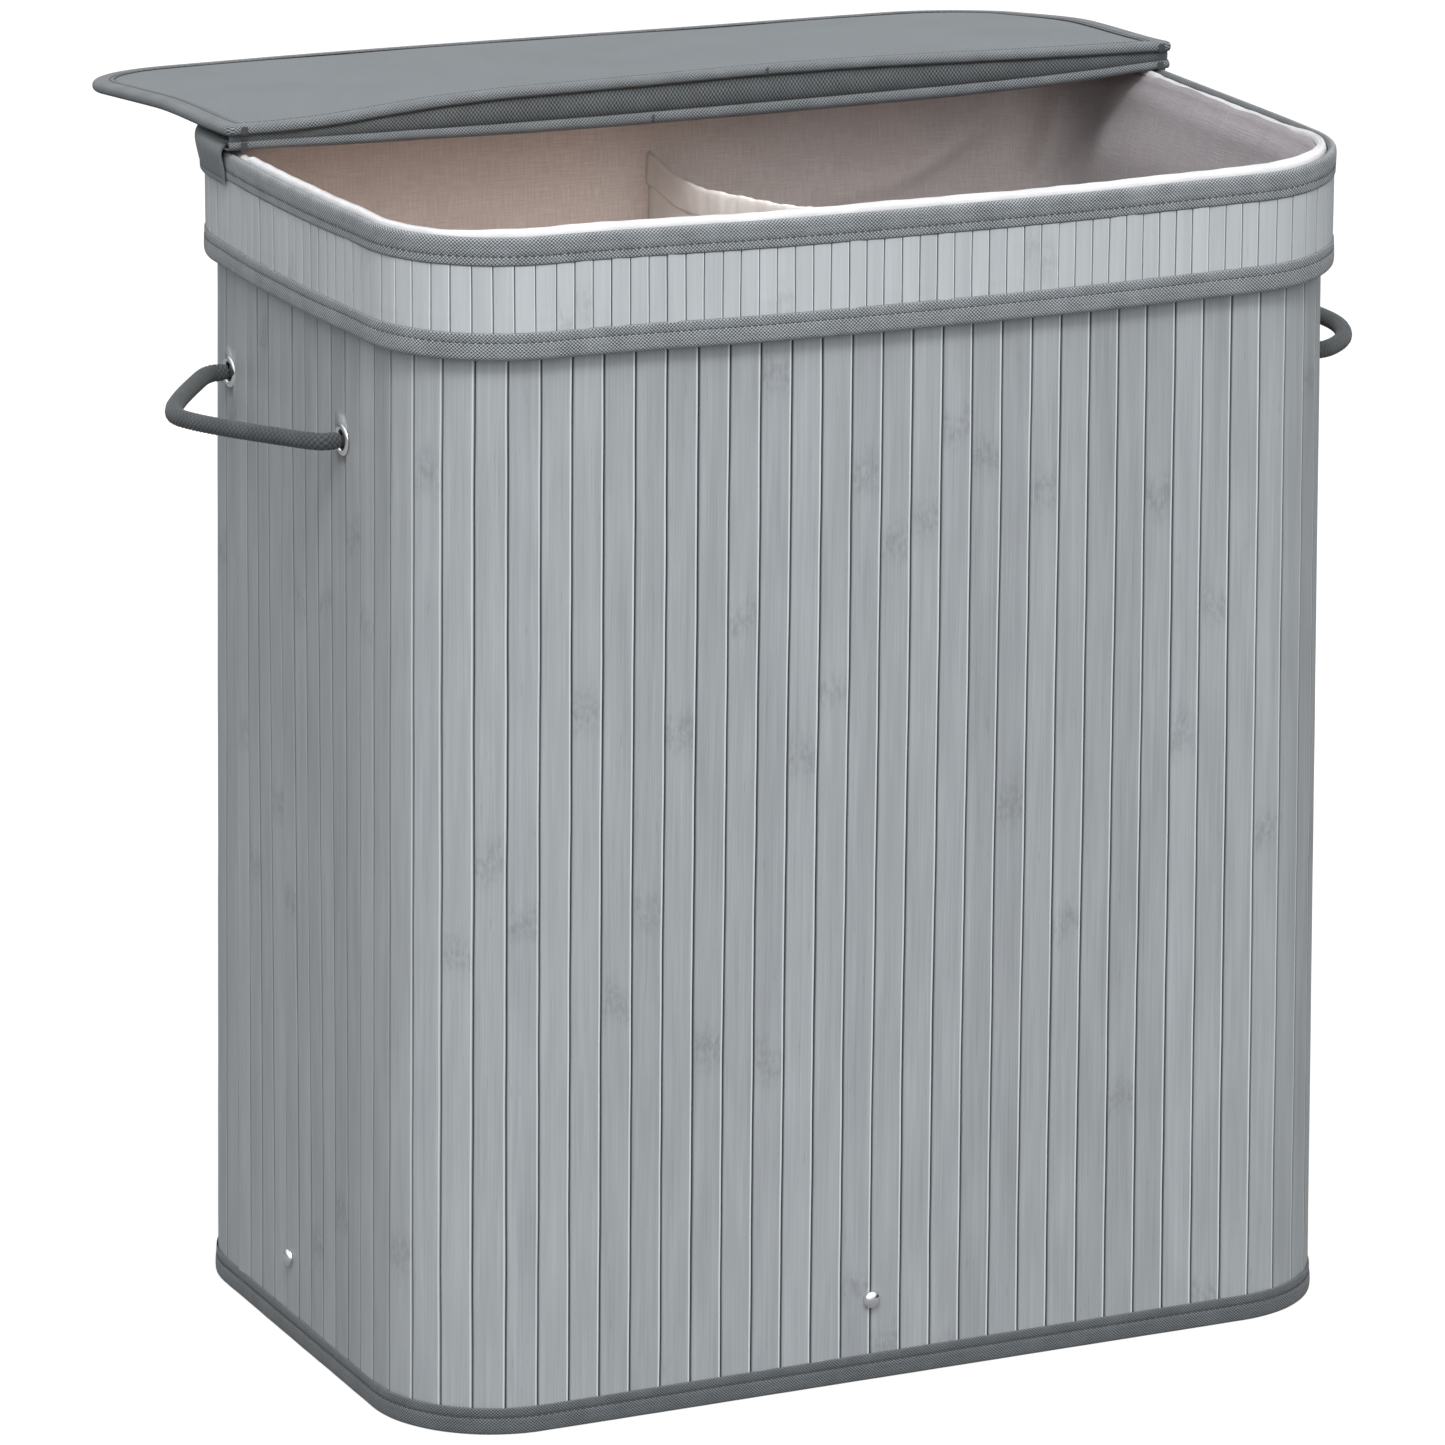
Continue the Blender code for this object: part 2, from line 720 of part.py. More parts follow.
def flap_plan(inset):
    """The flap's plan when closed: square at the hinge, rounded at its two front corners."""
    half_width = BODY_WIDTH / 2 + RING_OUTSET + FLAP_OVERHANG - inset
    radius = FLAP_CORNER - inset
    front, rear = -FLAP_REACH + inset, -0.0005 - inset
    plan = [(half_width, rear), (-half_width, rear)]
    for centre_x, first in ((-half_width + radius, 180), (half_width - radius, 270)):
        for k in range(CORNER_STEPS + 1):
            angle = math.radians(first + 90 * k / CORNER_STEPS)
            plan.append((centre_x + radius * math.cos(angle), front + radius + radius * math.sin(angle)))
    return plan


def make_flap(board, fabric, tape):
    """The flap, modelled closed on the ring and turned back about the hinge line."""
    hinge = bpy.data.objects.new("flap_hinge_line", None)
    bpy.context.scene.collection.objects.link(hinge)
    hinge.location = (0, 0, HINGE_HEIGHT)
    thin = FLAP_CLOTH
    lower_cover = FLAP_LOW + thin + GAP
    board_low = lower_cover + thin + GAP
    board_high = FLAP_LOW + FLAP_THICKNESS - 2 * (thin + GAP)
    plan = flap_plan(FLAP_EDGE + 0.0004)
    pieces = [
        plate("flap_lining", plan, lower_cover, lower_cover + thin, fabric),
        plate("flap_board", plan, board_low, board_high, board),
        plate("flap_cover", plan, board_high + GAP, board_high + GAP + thin, fabric),
        flap_tape(tape),
    ]
    for piece in pieces:
        piece.parent = hinge
        piece.matrix_parent_inverse = Matrix.Translation((0, 0, -HINGE_HEIGHT))
    hinge.rotation_euler = Euler((-FLAP_OPEN, 0, 0))


def flap_tape(tape):
    """The tape folded over the flap's whole edge."""
    low, high, thin = FLAP_LOW, FLAP_LOW + FLAP_THICKNESS, FLAP_CLOTH
    section = (
        (FLAP_TAPE_WIDTH, low),
        (0.0, low),
        (0.0, high),
        (FLAP_TAPE_WIDTH, high),
        (FLAP_TAPE_WIDTH, high - thin),
        (FLAP_EDGE, high - thin),
        (FLAP_EDGE, low + thin),
        (FLAP_TAPE_WIDTH, low + thin),
    )
    around = len(flap_plan(0.0))
    points = [(x, y, z) for inset, z in section for x, y in flap_plan(inset)]
    across = len(section)
    faces = [
        (
            i * around + j,
            i * around + (j + 1) % around,
            (i + 1) % across * around + (j + 1) % around,
            (i + 1) % across * around + j,
        )
        for i in range(across)
        for j in range(around)
    ]
    return mesh_object("flap_binding", points, faces, tape)


def main():
    clear_scene()
    bamboo = material("bamboo", (0.36, 0.38, 0.39), 0.55)
    cloth = material("backing_cloth", (0.30, 0.30, 0.30), 0.9)
    tape = material("edge_tape", (0.13, 0.14, 0.15), 0.85)
    fabric = material("lid_cloth", (0.14, 0.15, 0.16), 0.7)
    rope = material("rope", (0.15, 0.16, 0.17), 0.9)
    linen = material("liner_cloth", (0.52, 0.45, 0.40), 0.9)
    cotton = material("cuff_cloth", (0.85, 0.84, 0.83), 0.9)
    board = material("fibreboard", (0.35, 0.26, 0.18), 0.8)
    wood = material("batten_wood", (0.62, 0.47, 0.30), 0.7)
    steel = material("rim_steel", (0.5, 0.5, 0.5), 0.4, 1.0)
    chrome = material("chrome", (0.8, 0.8, 0.82), 0.12, 1.0)
    make_wall(bamboo, cloth)
    make_edge_tapes(tape, steel)
    make_base(board, wood, chrome)
    for side in ("left", "right"):
        make_eyelets(side, chrome, rope)
        make_rope(side, rope)
    make_liner(linen, cotton)
    make_ring(bamboo, cloth, tape)
    make_strip(board, fabric, tape)
    make_flap(board, fabric, tape)


main()
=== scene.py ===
"""The looks of a bamboo laundry hamper with a folded-back lid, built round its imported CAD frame.

Metres, +Z up, the front faces -Y. Shares run from 0 to 1 round the wall, from the front's middle towards +X.
Offsets are measured outwards from the face of the wall's slats. The lid's flap is shaped closed and then
turned back about its hinge, as it stands in the frame.
"""
import json
import math

import bmesh
import bpy
import numpy as np
from mathutils import Matrix, Vector


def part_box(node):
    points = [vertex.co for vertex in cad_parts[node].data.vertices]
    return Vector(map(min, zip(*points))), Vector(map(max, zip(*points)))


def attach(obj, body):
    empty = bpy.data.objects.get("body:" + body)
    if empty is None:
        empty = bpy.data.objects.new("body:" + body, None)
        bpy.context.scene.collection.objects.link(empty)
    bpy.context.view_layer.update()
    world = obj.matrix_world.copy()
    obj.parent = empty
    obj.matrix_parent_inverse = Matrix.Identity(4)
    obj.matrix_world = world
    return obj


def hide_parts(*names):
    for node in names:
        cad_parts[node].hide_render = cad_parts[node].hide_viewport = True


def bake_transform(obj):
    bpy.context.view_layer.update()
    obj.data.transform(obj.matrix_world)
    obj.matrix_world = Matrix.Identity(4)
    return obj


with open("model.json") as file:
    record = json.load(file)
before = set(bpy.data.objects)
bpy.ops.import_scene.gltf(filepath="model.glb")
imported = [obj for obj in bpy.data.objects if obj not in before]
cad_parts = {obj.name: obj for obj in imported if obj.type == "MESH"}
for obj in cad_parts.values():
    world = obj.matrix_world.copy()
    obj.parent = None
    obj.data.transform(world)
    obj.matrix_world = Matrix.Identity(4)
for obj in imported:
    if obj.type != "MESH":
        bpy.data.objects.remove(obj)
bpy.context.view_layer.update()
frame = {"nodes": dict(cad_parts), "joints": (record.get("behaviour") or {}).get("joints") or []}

# ---------------------------------------------------------------- sizes, worked out from the frame

RING_OUTSET = 0.007
FOOT_OUTSET = 0.001
RADIUS = 0.064
ring_low, ring_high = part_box("ring_top_binding")
foot_low, foot_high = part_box("bottom_binding")
WIDTH = 2 * (ring_high.x - RING_OUTSET)
DEPTH = ring_high.y - ring_low.y - 2 * RING_OUTSET
MIDDLE_Y = (ring_low.y + ring_high.y) / 2
SPREAD_WIDTH = 2 * (foot_high.x - FOOT_OUTSET) - WIDTH
SPREAD_DEPTH = foot_high.y - foot_low.y - 2 * FOOT_OUTSET - DEPTH
BODY_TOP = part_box("wall_backing")[1].z
RING_TOP = ring_high.z
RING_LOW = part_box("ring_bottom_binding")[0].z
STRIP_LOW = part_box("rear_board")[0].z
LINER_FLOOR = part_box("liner_floor")[0].z
ROPE_HEIGHT = (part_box("left_handle_rope")[0].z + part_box("left_handle_rope")[1].z) / 2
ROPE_RADIUS = (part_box("left_handle_rope")[1].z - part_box("left_handle_rope")[0].z) / 2
HINGE = next(joint for joint in frame["joints"] if joint["name"] == "flap_hinge")
HINGE_Z = HINGE["pos_m"][2]
FLAP_OPEN = math.radians(HINGE["range_deg"][1])

# How many slats go round the wall, and round the lid's ring.
WALL_SLATS = 96
RING_SLATS = 164
PERIMETER = 2 * (WIDTH + DEPTH) - (8 - 2 * math.pi) * RADIUS
PLACES = (
    "front", "corner_front_right", "right", "corner_back_right",
    "back", "corner_back_left", "left", "corner_front_left",
)
FLAP_LOW = 0.6052
FLAP_THICKNESS = 0.0056
FLAP_REACH = 0.2354
FLAP_CORNER = 0.055
HALF_LID = WIDTH / 2 + RING_OUTSET
FLAP_HALF = HALF_LID + 0.0036
# How far the middle of each wall stands out from a straight line.
BOW = {"front": 0.0060, "right": 0.0, "back": 0.0, "left": 0.0036}
# Half the distance between a handle's two eyelets, and the holes that the eyelets sit in.
EYELET_HALF = 0.077
HOLE_RADIUS = 0.0062
# The line of thread across the ring's slats, the top of the liner's wall, and half the divider's width.
RING_THREAD = 0.5648
LINER_TOP = 0.6008
DIVIDER_REACH = DEPTH / 2 - 0.0158
# The stitches of the round tapes, those of the lid, and how far the flap's stitches lie inside its edge.
ROUND_PITCH = 0.0033
LID_PITCH = 0.0034
FLAP_SEAM = 0.0088


def ripple(x, seed, waves=((0.31, 0.5), (0.13, 0.3), (0.057, 0.2))):
    """Smooth uneven waves between about -1 and 1, from sines of the given lengths and shares."""
    phases = np.random.default_rng(seed).uniform(0, 2 * math.pi, len(waves))
    pairs = zip(waves, phases)
    return sum(share * np.sin(2 * math.pi * x / length + phase) for (length, share), phase in pairs)


def smooth(low, high, x):
    """0 below low, 1 above high, and a smooth step between."""
    t = np.clip((x - low) / (high - low), 0, 1)
    return t * t * (3 - 2 * t)


# ---------------------------------------------------------------- the wall's plan


def plan(share, z=None):
    """Points and outward normals on the slats' face, bowed out a little between the corners.

    Without z, at the mouth, where the base's spread is nil."""
    z = BODY_TOP if z is None else z
    share, z = np.broadcast_arrays(np.asarray(share, float) % 1.0, np.asarray(z, float))
    grow = 1 - z / BODY_TOP
    half_x = (WIDTH + SPREAD_WIDTH * grow) / 2 - RADIUS
    half_y = (DEPTH + SPREAD_DEPTH * grow) / 2 - RADIUS
    quarter = math.pi / 2 * RADIUS
    rest = share * 4 * (half_x + half_y + quarter)
    runs = (
        (half_x, 0 * half_x, -half_y, -90, "front"),
        (quarter, half_x, -half_y, -90, None),
        (2 * half_y, half_x, -half_y, 0, "right"),
        (quarter, half_x, half_y, 0, None),
        (2 * half_x, half_x, half_y, 90, "back"),
        (quarter, -half_x, half_y, 90, None),
        (2 * half_y, -half_x, half_y, 180, "left"),
        (quarter, -half_x, -half_y, 180, None),
        (2 * half_x, -half_x, -half_y, 270, "front"),
    )
    x, y, angle, slide, bow = (np.zeros(rest.shape) for _ in range(5))
    left = np.ones(rest.shape, bool)
    for run, centre_x, centre_y, degrees, side in runs:
        here = left & (rest <= run)
        x, y = np.where(here, centre_x, x), np.where(here, centre_y, y)
        angle = np.where(here, math.radians(degrees) + (0 if side else rest / RADIUS), angle)
        if side:
            half = half_x if side in ("front", "back") else half_y
            off = np.abs(rest - (0 if degrees == -90 else half)) / half
            slide = np.where(here, rest, slide)
            bow = np.where(here, BOW[side] * (1 - np.minimum(off, 1) ** 3) ** 2, bow)
        left = left & ~here
        rest = np.where(left, rest - run, rest)
    normal = np.stack([np.cos(angle), np.sin(angle)], -1)
    along = np.stack([-normal[..., 1], normal[..., 0]], -1)
    out = RADIUS + bow * smooth(0.02, 0.56, z)
    point = np.stack([x, y + MIDDLE_Y], -1) + out[..., None] * normal + slide[..., None] * along
    return point, normal


def side_bow(side, y, z):
    """How far a short side stands out from its straight place."""
    off = min(abs(y - MIDDLE_Y) / ((DEPTH + SPREAD_DEPTH * (1 - z / BODY_TOP)) / 2 - RADIUS), 1)
    return BOW[side] * (1 - off**3) ** 2 * float(smooth(0.02, 0.56, z))


# How far the lid's ring hangs below its place: along the front by x, along the left side by y.
FRONT_DROP = (
    (-0.26, -0.19, -0.13, -0.08, 0.0, 0.10, 0.19, 0.225, 0.26),
    (0.0001, 0.0, 0.0004, 0.0013, 0.0020, 0.0027, 0.0030, 0.0020, -0.0006),
)
LEFT_DROP = ((-0.17, -0.12, -0.07, -0.02, 0.02, 0.06), (0.0, 0.0002, 0.0006, 0.0012, 0.0020, 0.0014))


def eased(x, table, reach):
    """A table of values, with its corners rounded over the distance reach."""
    return np.mean([np.interp(x + shift, *table) for shift in np.linspace(-reach, reach, 9)], axis=0)


def ring_drop(point):
    """How far the lid's ring hangs below its place beside a point of the wall."""
    x, y = point[..., 0], point[..., 1]
    front = smooth(-0.12, -0.19, y)
    left = smooth(-0.17, -0.24, x) * (1 - front)
    right = smooth(0.17, 0.24, x) * (1 - front) * smooth(0.06, -0.15, y)
    return front * eased(x, FRONT_DROP, 0.02) + left * eased(y, LEFT_DROP, 0.02) - 0.0004 * right


def wall_points(share, offset, z, spread=True):
    """Points beside the wall, in three dimensions. The lid's ring stands straight: it has no spread."""
    share, offset, z = np.broadcast_arrays(share, offset, z)
    point, normal = plan(share, z if spread else None)
    drop = ring_drop(point) * (smooth(0.48, 0.57, z) if spread else 1)
    return np.concatenate([point + offset[..., None] * normal, (z - drop)[..., None]], -1)


# ---------------------------------------------------------------- mesh tools


class Shape:
    """Grids of points gathered into one mesh, with cloth coordinates and values for its material."""

    def __init__(self):
        self.points, self.faces, self.lays, self.ends, self.end_lays = [], [], [], [], []
        self.values = {}
        self.count = 0

    def grid(self, points, lay=None, wrap=(False, False), flip=False, ends=False, **values):
        """Adds a grid. lay holds metres along and across the material, one more of each where it wraps."""
        points = np.asarray(points, float)
        rows, columns = points.shape[:2]
        high, wide = rows - (not wrap[0]), columns - (not wrap[1])
        r, c = np.meshgrid(np.arange(high), np.arange(wide), indexing="ij")
        corners = [(r, c), (r + 1, c), (r + 1, c + 1), (r, c + 1)]
        corners = corners[::-1] if flip else corners
        index = np.stack([(a % rows) * columns + b % columns for a, b in corners], -1).reshape(-1, 4)
        lay = np.zeros((high + 1, wide + 1, 2)) if lay is None else lay
        self.faces.append(index + self.count)
        self.lays.append(np.stack([lay[a, b] for a, b in corners], 2).reshape(-1, 2))
        if ends:
            for row, back in ((0, not flip), (rows - 1, flip)):
                ring = np.arange(columns)[:: -1 if back else 1]
                self.ends.append((row * columns + ring + self.count).tolist())
                self.end_lays.append(lay[row, ring])
        for name in set(values) | set(self.values):
            held = self.values.setdefault(name, [np.zeros(self.count)])
            held.append(np.broadcast_to(values.get(name, 0.0), points.shape[:2]).ravel())
        self.points.append(points.reshape(-1, 3))
        self.count += rows * columns

    def build(self, name, finish, shade=40):
        mesh = bpy.data.meshes.new(name)
        faces = np.concatenate(self.faces).tolist() + self.ends
        mesh.from_pydata(np.concatenate(self.points).tolist(), [], faces)
        lay = mesh.uv_layers.new(name="lay")
        lay.data.foreach_set("uv", np.concatenate(self.lays + self.end_lays).astype(np.float32).ravel())
        for key, parts in self.values.items():
            attribute = mesh.attributes.new(key, "FLOAT", "POINT")
            attribute.data.foreach_set("value", np.concatenate(parts).astype(np.float32))
        mesh.materials.append(finish)
        mesh.shade_smooth()
        if shade:
            mesh.set_sharp_from_angle(angle=math.radians(shade))
        made = bpy.data.objects.new(name, mesh)
        bpy.context.scene.collection.objects.link(made)
        return made


def lay_of(points, wrap=(False, False), turn=False):
    """Cloth coordinates of a grid, in metres: the mean running length along its rows and down its columns."""
    down = np.concatenate([points, points[:1]]) if wrap[0] else points
    across = np.concatenate([points, points[:, :1]], 1) if wrap[1] else points
    v = np.concatenate([[0], np.cumsum(np.linalg.norm(np.diff(down, axis=0), axis=2).mean(1))])
    u = np.concatenate([[0], np.cumsum(np.linalg.norm(np.diff(across, axis=1), axis=2).mean(0))])
    u, v = np.meshgrid(u, v)
    return np.stack([v, u] if turn else [u, v], -1)


def applied(obj):
    """Makes the object's modifiers part of its mesh."""
    bpy.context.view_layer.update()
    mesh = bpy.data.meshes.new_from_object(obj.evaluated_get(bpy.context.evaluated_depsgraph_get()))
    obj.modifiers.clear()
    obj.data = mesh
    return obj


def thicken(obj, thickness, side=-1.0):
    """Gives a sheet its thickness, on the side away from its normals, or across them when side is 0."""
    solid = obj.modifiers.new("thickness", "SOLIDIFY")
    solid.thickness = thickness
    solid.offset = side
    return applied(obj)


def fix_normals(obj):
    """Turns the faces outwards."""
    shape = bmesh.new()
    shape.from_mesh(obj.data)
    bmesh.ops.recalc_face_normals(shape, faces=shape.faces)
    shape.to_mesh(obj.data)
    shape.free()


def solid(name, finish, points, wrap=(False, True), turn=False, shade=None, **values):
    """One grid as a closed solid, capped at both ends unless it runs all the way round."""
    shape = Shape()
    shape.grid(points, lay_of(points, wrap, turn), wrap=wrap, ends=not wrap[0], **values)
    made = shape.build(name, finish, shade)
    fix_normals(made)
    return made


def piece(obj, body, slot, *nodes):
    """Attaches the piece to the body that it rides on and hides the CAD nodes that it stands for; its
    material slot is not used.
    """
    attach(obj, body)
    if nodes:
        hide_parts(*nodes)
    return obj


def lathe(name, profile, origin, outwards, finish, steps=48):
    """A turned solid: profile is a closed loop of (radius, distance along outwards), clear of the axis."""
    turned = Vector(outwards).to_track_quat("Z", "Y").to_matrix().to_4x4()
    place = np.array(Matrix.Translation(origin) @ turned)
    radius, along = np.array(profile).T
    angle = np.linspace(0, 2 * math.pi, steps, endpoint=False)
    sides = (radius, np.cos(angle)), (radius, np.sin(angle)), (along, np.ones(steps))
    ring = np.stack([np.outer(*side) for side in sides], -1)
    return solid(name, finish, ring @ place[:3, :3].T + place[:3, 3], (True, True), shade=40)


def arc(centre, radius, first, last, steps):
    """Points on an arc, in degrees."""
    angles = np.radians(np.linspace(first, last, steps))
    return [(centre[0] + radius * math.cos(a), centre[1] + radius * math.sin(a)) for a in angles]


def curve_between(a, b, c, d, t):
    """The Catmull-Rom curve from b to c, with a before and d after."""
    return 0.5 * (2 * b + (c - a) * t + (2 * a - 5 * b + 4 * c - d) * t**2 + (3 * b - a - 3 * c + d) * t**3)


def fine(profile, steps=3, closed=True):
    """A smoother outline through the same points."""
    p = np.array(profile, float)
    before, after, later = (np.roll(p, k, axis=0) for k in (1, -1, -2))
    if not closed:
        before[0], after[-1], later[-1], later[-2] = p[0], p[-1], p[-1], p[-1]
    t = (np.arange(steps) / steps)[None, :, None]
    curve = curve_between(*(q[:, None] for q in (before, p, after, later)), t).reshape(-1, p.shape[1])
    return curve if closed else np.concatenate(
        [curve[: -steps + 1 or None], p[-1:]]
    )[: (len(p) - 1) * steps + 1]


# ---------------------------------------------------------------- material tools


def tint(red, green, blue):
    """A linear colour from the 8-bit values that a picture shows."""
    parts = [value / 255 for value in (red, green, blue)]
    return tuple(p / 12.92 if p <= 0.04045 else ((p + 0.055) / 1.055) ** 2.4 for p in parts)


def scaled(colour, by):
    return tuple(by * part for part in colour)


class Wire:
    """A value that runs between a material's nodes; sums and products with it make Math nodes."""

    def __init__(self, finish, socket):
        self.finish, self.socket = finish, socket

    def __add__(self, other):
        return self.finish.maths("ADD", self, other)

    def __sub__(self, other):
        return self.finish.maths("SUBTRACT", self, other)

    def __rsub__(self, other):
        return self.finish.maths("SUBTRACT", other, self)

    def __mul__(self, other):
        return self.finish.maths("MULTIPLY", self, other)


class Finish:
    """A Principled material with short names for the nodes that feed it."""

    def __init__(self, name, roughness, **plain):
        self.material = bpy.data.materials.new(name)
        self.material.use_nodes = True
        self.tree = self.material.node_tree
        self.shader = self.tree.nodes["Principled BSDF"]
        self.shader.inputs["Roughness"].default_value = roughness
        for socket, value in plain.items():
            self.shader.inputs[socket.replace("_", " ")].default_value = value

    def node(self, kind, inputs, **settings):
        made = self.tree.nodes.new("ShaderNode" + kind)
        for name, value in settings.items():
            setattr(made, name, value)
        for key, value in inputs.items():
            self.feed(made.inputs[key], value)
        return made

    def feed(self, socket, value):
        value = value.socket if isinstance(value, Wire) else value
        if isinstance(value, bpy.types.NodeSocket):
            self.tree.links.new(value, socket)
        elif hasattr(value, "__len__") and len(value) == 3 and socket.type == "RGBA":
            socket.default_value = (*value, 1.0)
        else:
            socket.default_value = value

    def maths(self, operation, *values):
        return Wire(self, self.node("Math", dict(enumerate(values)), operation=operation).outputs[0])

    def clamp(self, value):
        return self.node("Clamp", {0: value}).outputs[0]

    def vector(self, operation, *values):
        return self.node("VectorMath", dict(enumerate(values)), operation=operation).outputs[0]

    def join(self, x=0.0, y=0.0, z=0.0):
        return self.node("CombineXYZ", {"X": x, "Y": y, "Z": z}).outputs[0]

    def lay(self):
        """Metres along and across the cloth or the wood."""
        split = self.node("SeparateXYZ", {0: self.node("UVMap", {}, uv_map="lay").outputs[0]})
        return Wire(self, split.outputs[0]), Wire(self, split.outputs[1])

    def place(self):
        return self.node("TexCoord", {}).outputs["Object"]

    def value(self, name):
        """A value that the mesh holds for each of its points."""
        return Wire(self, self.node("Attribute", {}, attribute_name=name).outputs["Fac"])

    def noise(self, at, scale=1.0, detail=2.0, rough=0.5):
        inputs = {"Vector": at, "Scale": scale, "Detail": detail, "Roughness": rough}
        return Wire(self, self.node("TexNoise", inputs).outputs["Fac"])

    def between(self, value, low, high, to_low=0.0, to_high=1.0):
        inputs = {"Value": value, "From Min": low, "From Max": high, "To Min": to_low, "To Max": to_high}
        return Wire(self, self.node("MapRange", inputs, interpolation_type="SMOOTHSTEP").outputs[0])

    def mix(self, factor, first, second, blend="MIX"):
        made = self.tree.nodes.new("ShaderNodeMix")
        made.data_type = "RGBA"
        made.blend_type = blend
        for socket, value in ((0, factor), (6, first), (7, second)):
            self.feed(made.inputs[socket], value)
        return made.outputs[2]

    def wave(self, at, length):
        """A cosine of the given length, from -1 to 1."""
        return self.maths("COSINE", at * (2 * math.pi / length))

    def colour(self, value):
        self.feed(self.shader.inputs["Base Color"], value)

    def rough(self, value):
        self.feed(self.shader.inputs["Roughness"], value)

    def bump(self, height, distance):
        made = self.node("Bump", {"Height": height, "Distance": distance, "Strength": 1.0})
        self.feed(self.shader.inputs["Normal"], made.outputs[0])


# ---------------------------------------------------------------- materials


def bamboo(name, pale, dark, grain):
    """Grey-stained bamboo: fine grain, a tone for each slat, mottled bands at the joints of the cane, a
    painted highlight on each slat's right-hand bevel and painted shade beside the joints between slats.
    """
    f = Finish(name, 0.48)
    u, v = f.lay()
    seed, edge = f.value("seed"), f.value("edge")

    def grained(across, down, detail=3.0, rough=0.6):
        """Noise with this many waves to the metre each way, new for every slat."""
        return f.noise(f.join(u * across, v * down, seed * 37.0), 1.0, detail, rough)

    fibre = grained(1500.0, 16.0)
    streak = grained(260.0, 5.0, rough=0.55)
    cloud = grained(90.0, 14.0, 2.0, 0.5)
    flake = grained(420.0, 210.0)
    speck = f.between(grained(900.0, 70.0, 2.0, 0.5), 0.66, 0.80)
    # Distance from the nearest joint of the cane, in metres, its line a little uneven.
    away = f.maths("PINGPONG", v + f.value("knot") + (cloud - 0.5) * 0.03, f.value("span") * 0.5)
    near = 1.0 - f.between(away, 0.0, 0.016)
    level = (fibre - 0.5) * grain + 0.5 + (streak - 0.5) * 0.45 + (cloud - 0.5) * 0.5 + f.value("tone") * 0.16
    level = f.clamp(level - speck * 0.30 - near * f.between(flake, 0.30, 0.72) * 0.42)
    hue = f.mix(f.maths("FRACT", seed * 7.0), (0.995, 1.0, 0.995), (1.0, 0.998, 1.008))
    base = f.mix(1.0, f.mix(level, dark, pale), hue, "MULTIPLY")
    # A painted highlight on the right-hand bevels, where edge is above 0.
    base = f.mix(f.maths("MAXIMUM", edge, 0.0) * 0.85, base, scaled(pale, 1.6))
    # Painted shade beside the joints between slats, where edge is below 0.
    base = f.mix(f.maths("MAXIMUM", edge * -1.0, 0.0) * 0.8, base, scaled(dark, 0.62))
    f.colour(base)
    f.rough(f.between(fibre, 0.2, 0.8, 0.40, 0.56))
    f.bump(fibre * 0.6 + near * flake * 0.9, 0.00012)
    return f.material


def twill(name, pale, dark, pitch=0.0022, relief=0.00025):
    """Woven tape: pale floats in a diagonal pattern between dark gaps, a little uneven along the weave, with
    painted shade where the mesh's fold value is high.
    """
    f = Finish(name, 0.85, Sheen_Weight=0.12, Sheen_Roughness=0.5)
    u, v = f.lay()
    at = f.join(u, v)
    fibre = f.noise(at, 2600.0, 2.0, 0.6)
    patch = f.noise(at, 70.0, 3.0, 0.6)
    u = u + f.noise(at, 240.0, 2.0) * 0.0007
    v = v + f.noise(f.vector("ADD", at, (3.1, 1.7, 0)), 240.0, 2.0) * 0.0004
    floats = f.wave(u, pitch) * f.wave(v, pitch * 0.9)
    cross = floats * 0.38 + f.wave(u + v * 0.8, pitch / 2) * 0.14 + 0.5
    level = f.clamp(f.between(cross, 0.12, 0.92) + (fibre - 0.5) * 0.7 + (patch - 0.5) * 0.4)
    # Painted shade: the fold value darkens the tape in its creases and on its hidden sides.
    f.colour(f.mix(f.value("fold") * 0.9, f.mix(level, dark, pale), scaled(dark, 0.12)))
    f.bump(cross + fibre * 0.3, relief)
    return f.material


def lid_cloth():
    """Smooth coated cloth: a close weave that hardly shows, and a soft sheen."""
    f = Finish("lid_cloth_looks", 0.62, Sheen_Weight=0.1, Sheen_Roughness=0.4)
    u, v = f.lay()
    weave = f.wave(u, 0.0007) * f.wave(v, 0.0007)
    thread = f.noise(f.join(u * 60.0, v * 1400.0), 1.0, 2.0)
    patch = f.noise(f.join(u, v), 16.0, 4.0, 0.6)
    f.colour(f.mix(weave * 0.08 + (patch * 0.5 + thread * 0.45), tint(84, 90, 94), tint(112, 118, 122)))
    f.rough(f.between(patch, 0.3, 0.7, 0.52, 0.66))
    f.bump(weave + thread * 0.8, 0.00008)
    return f.material


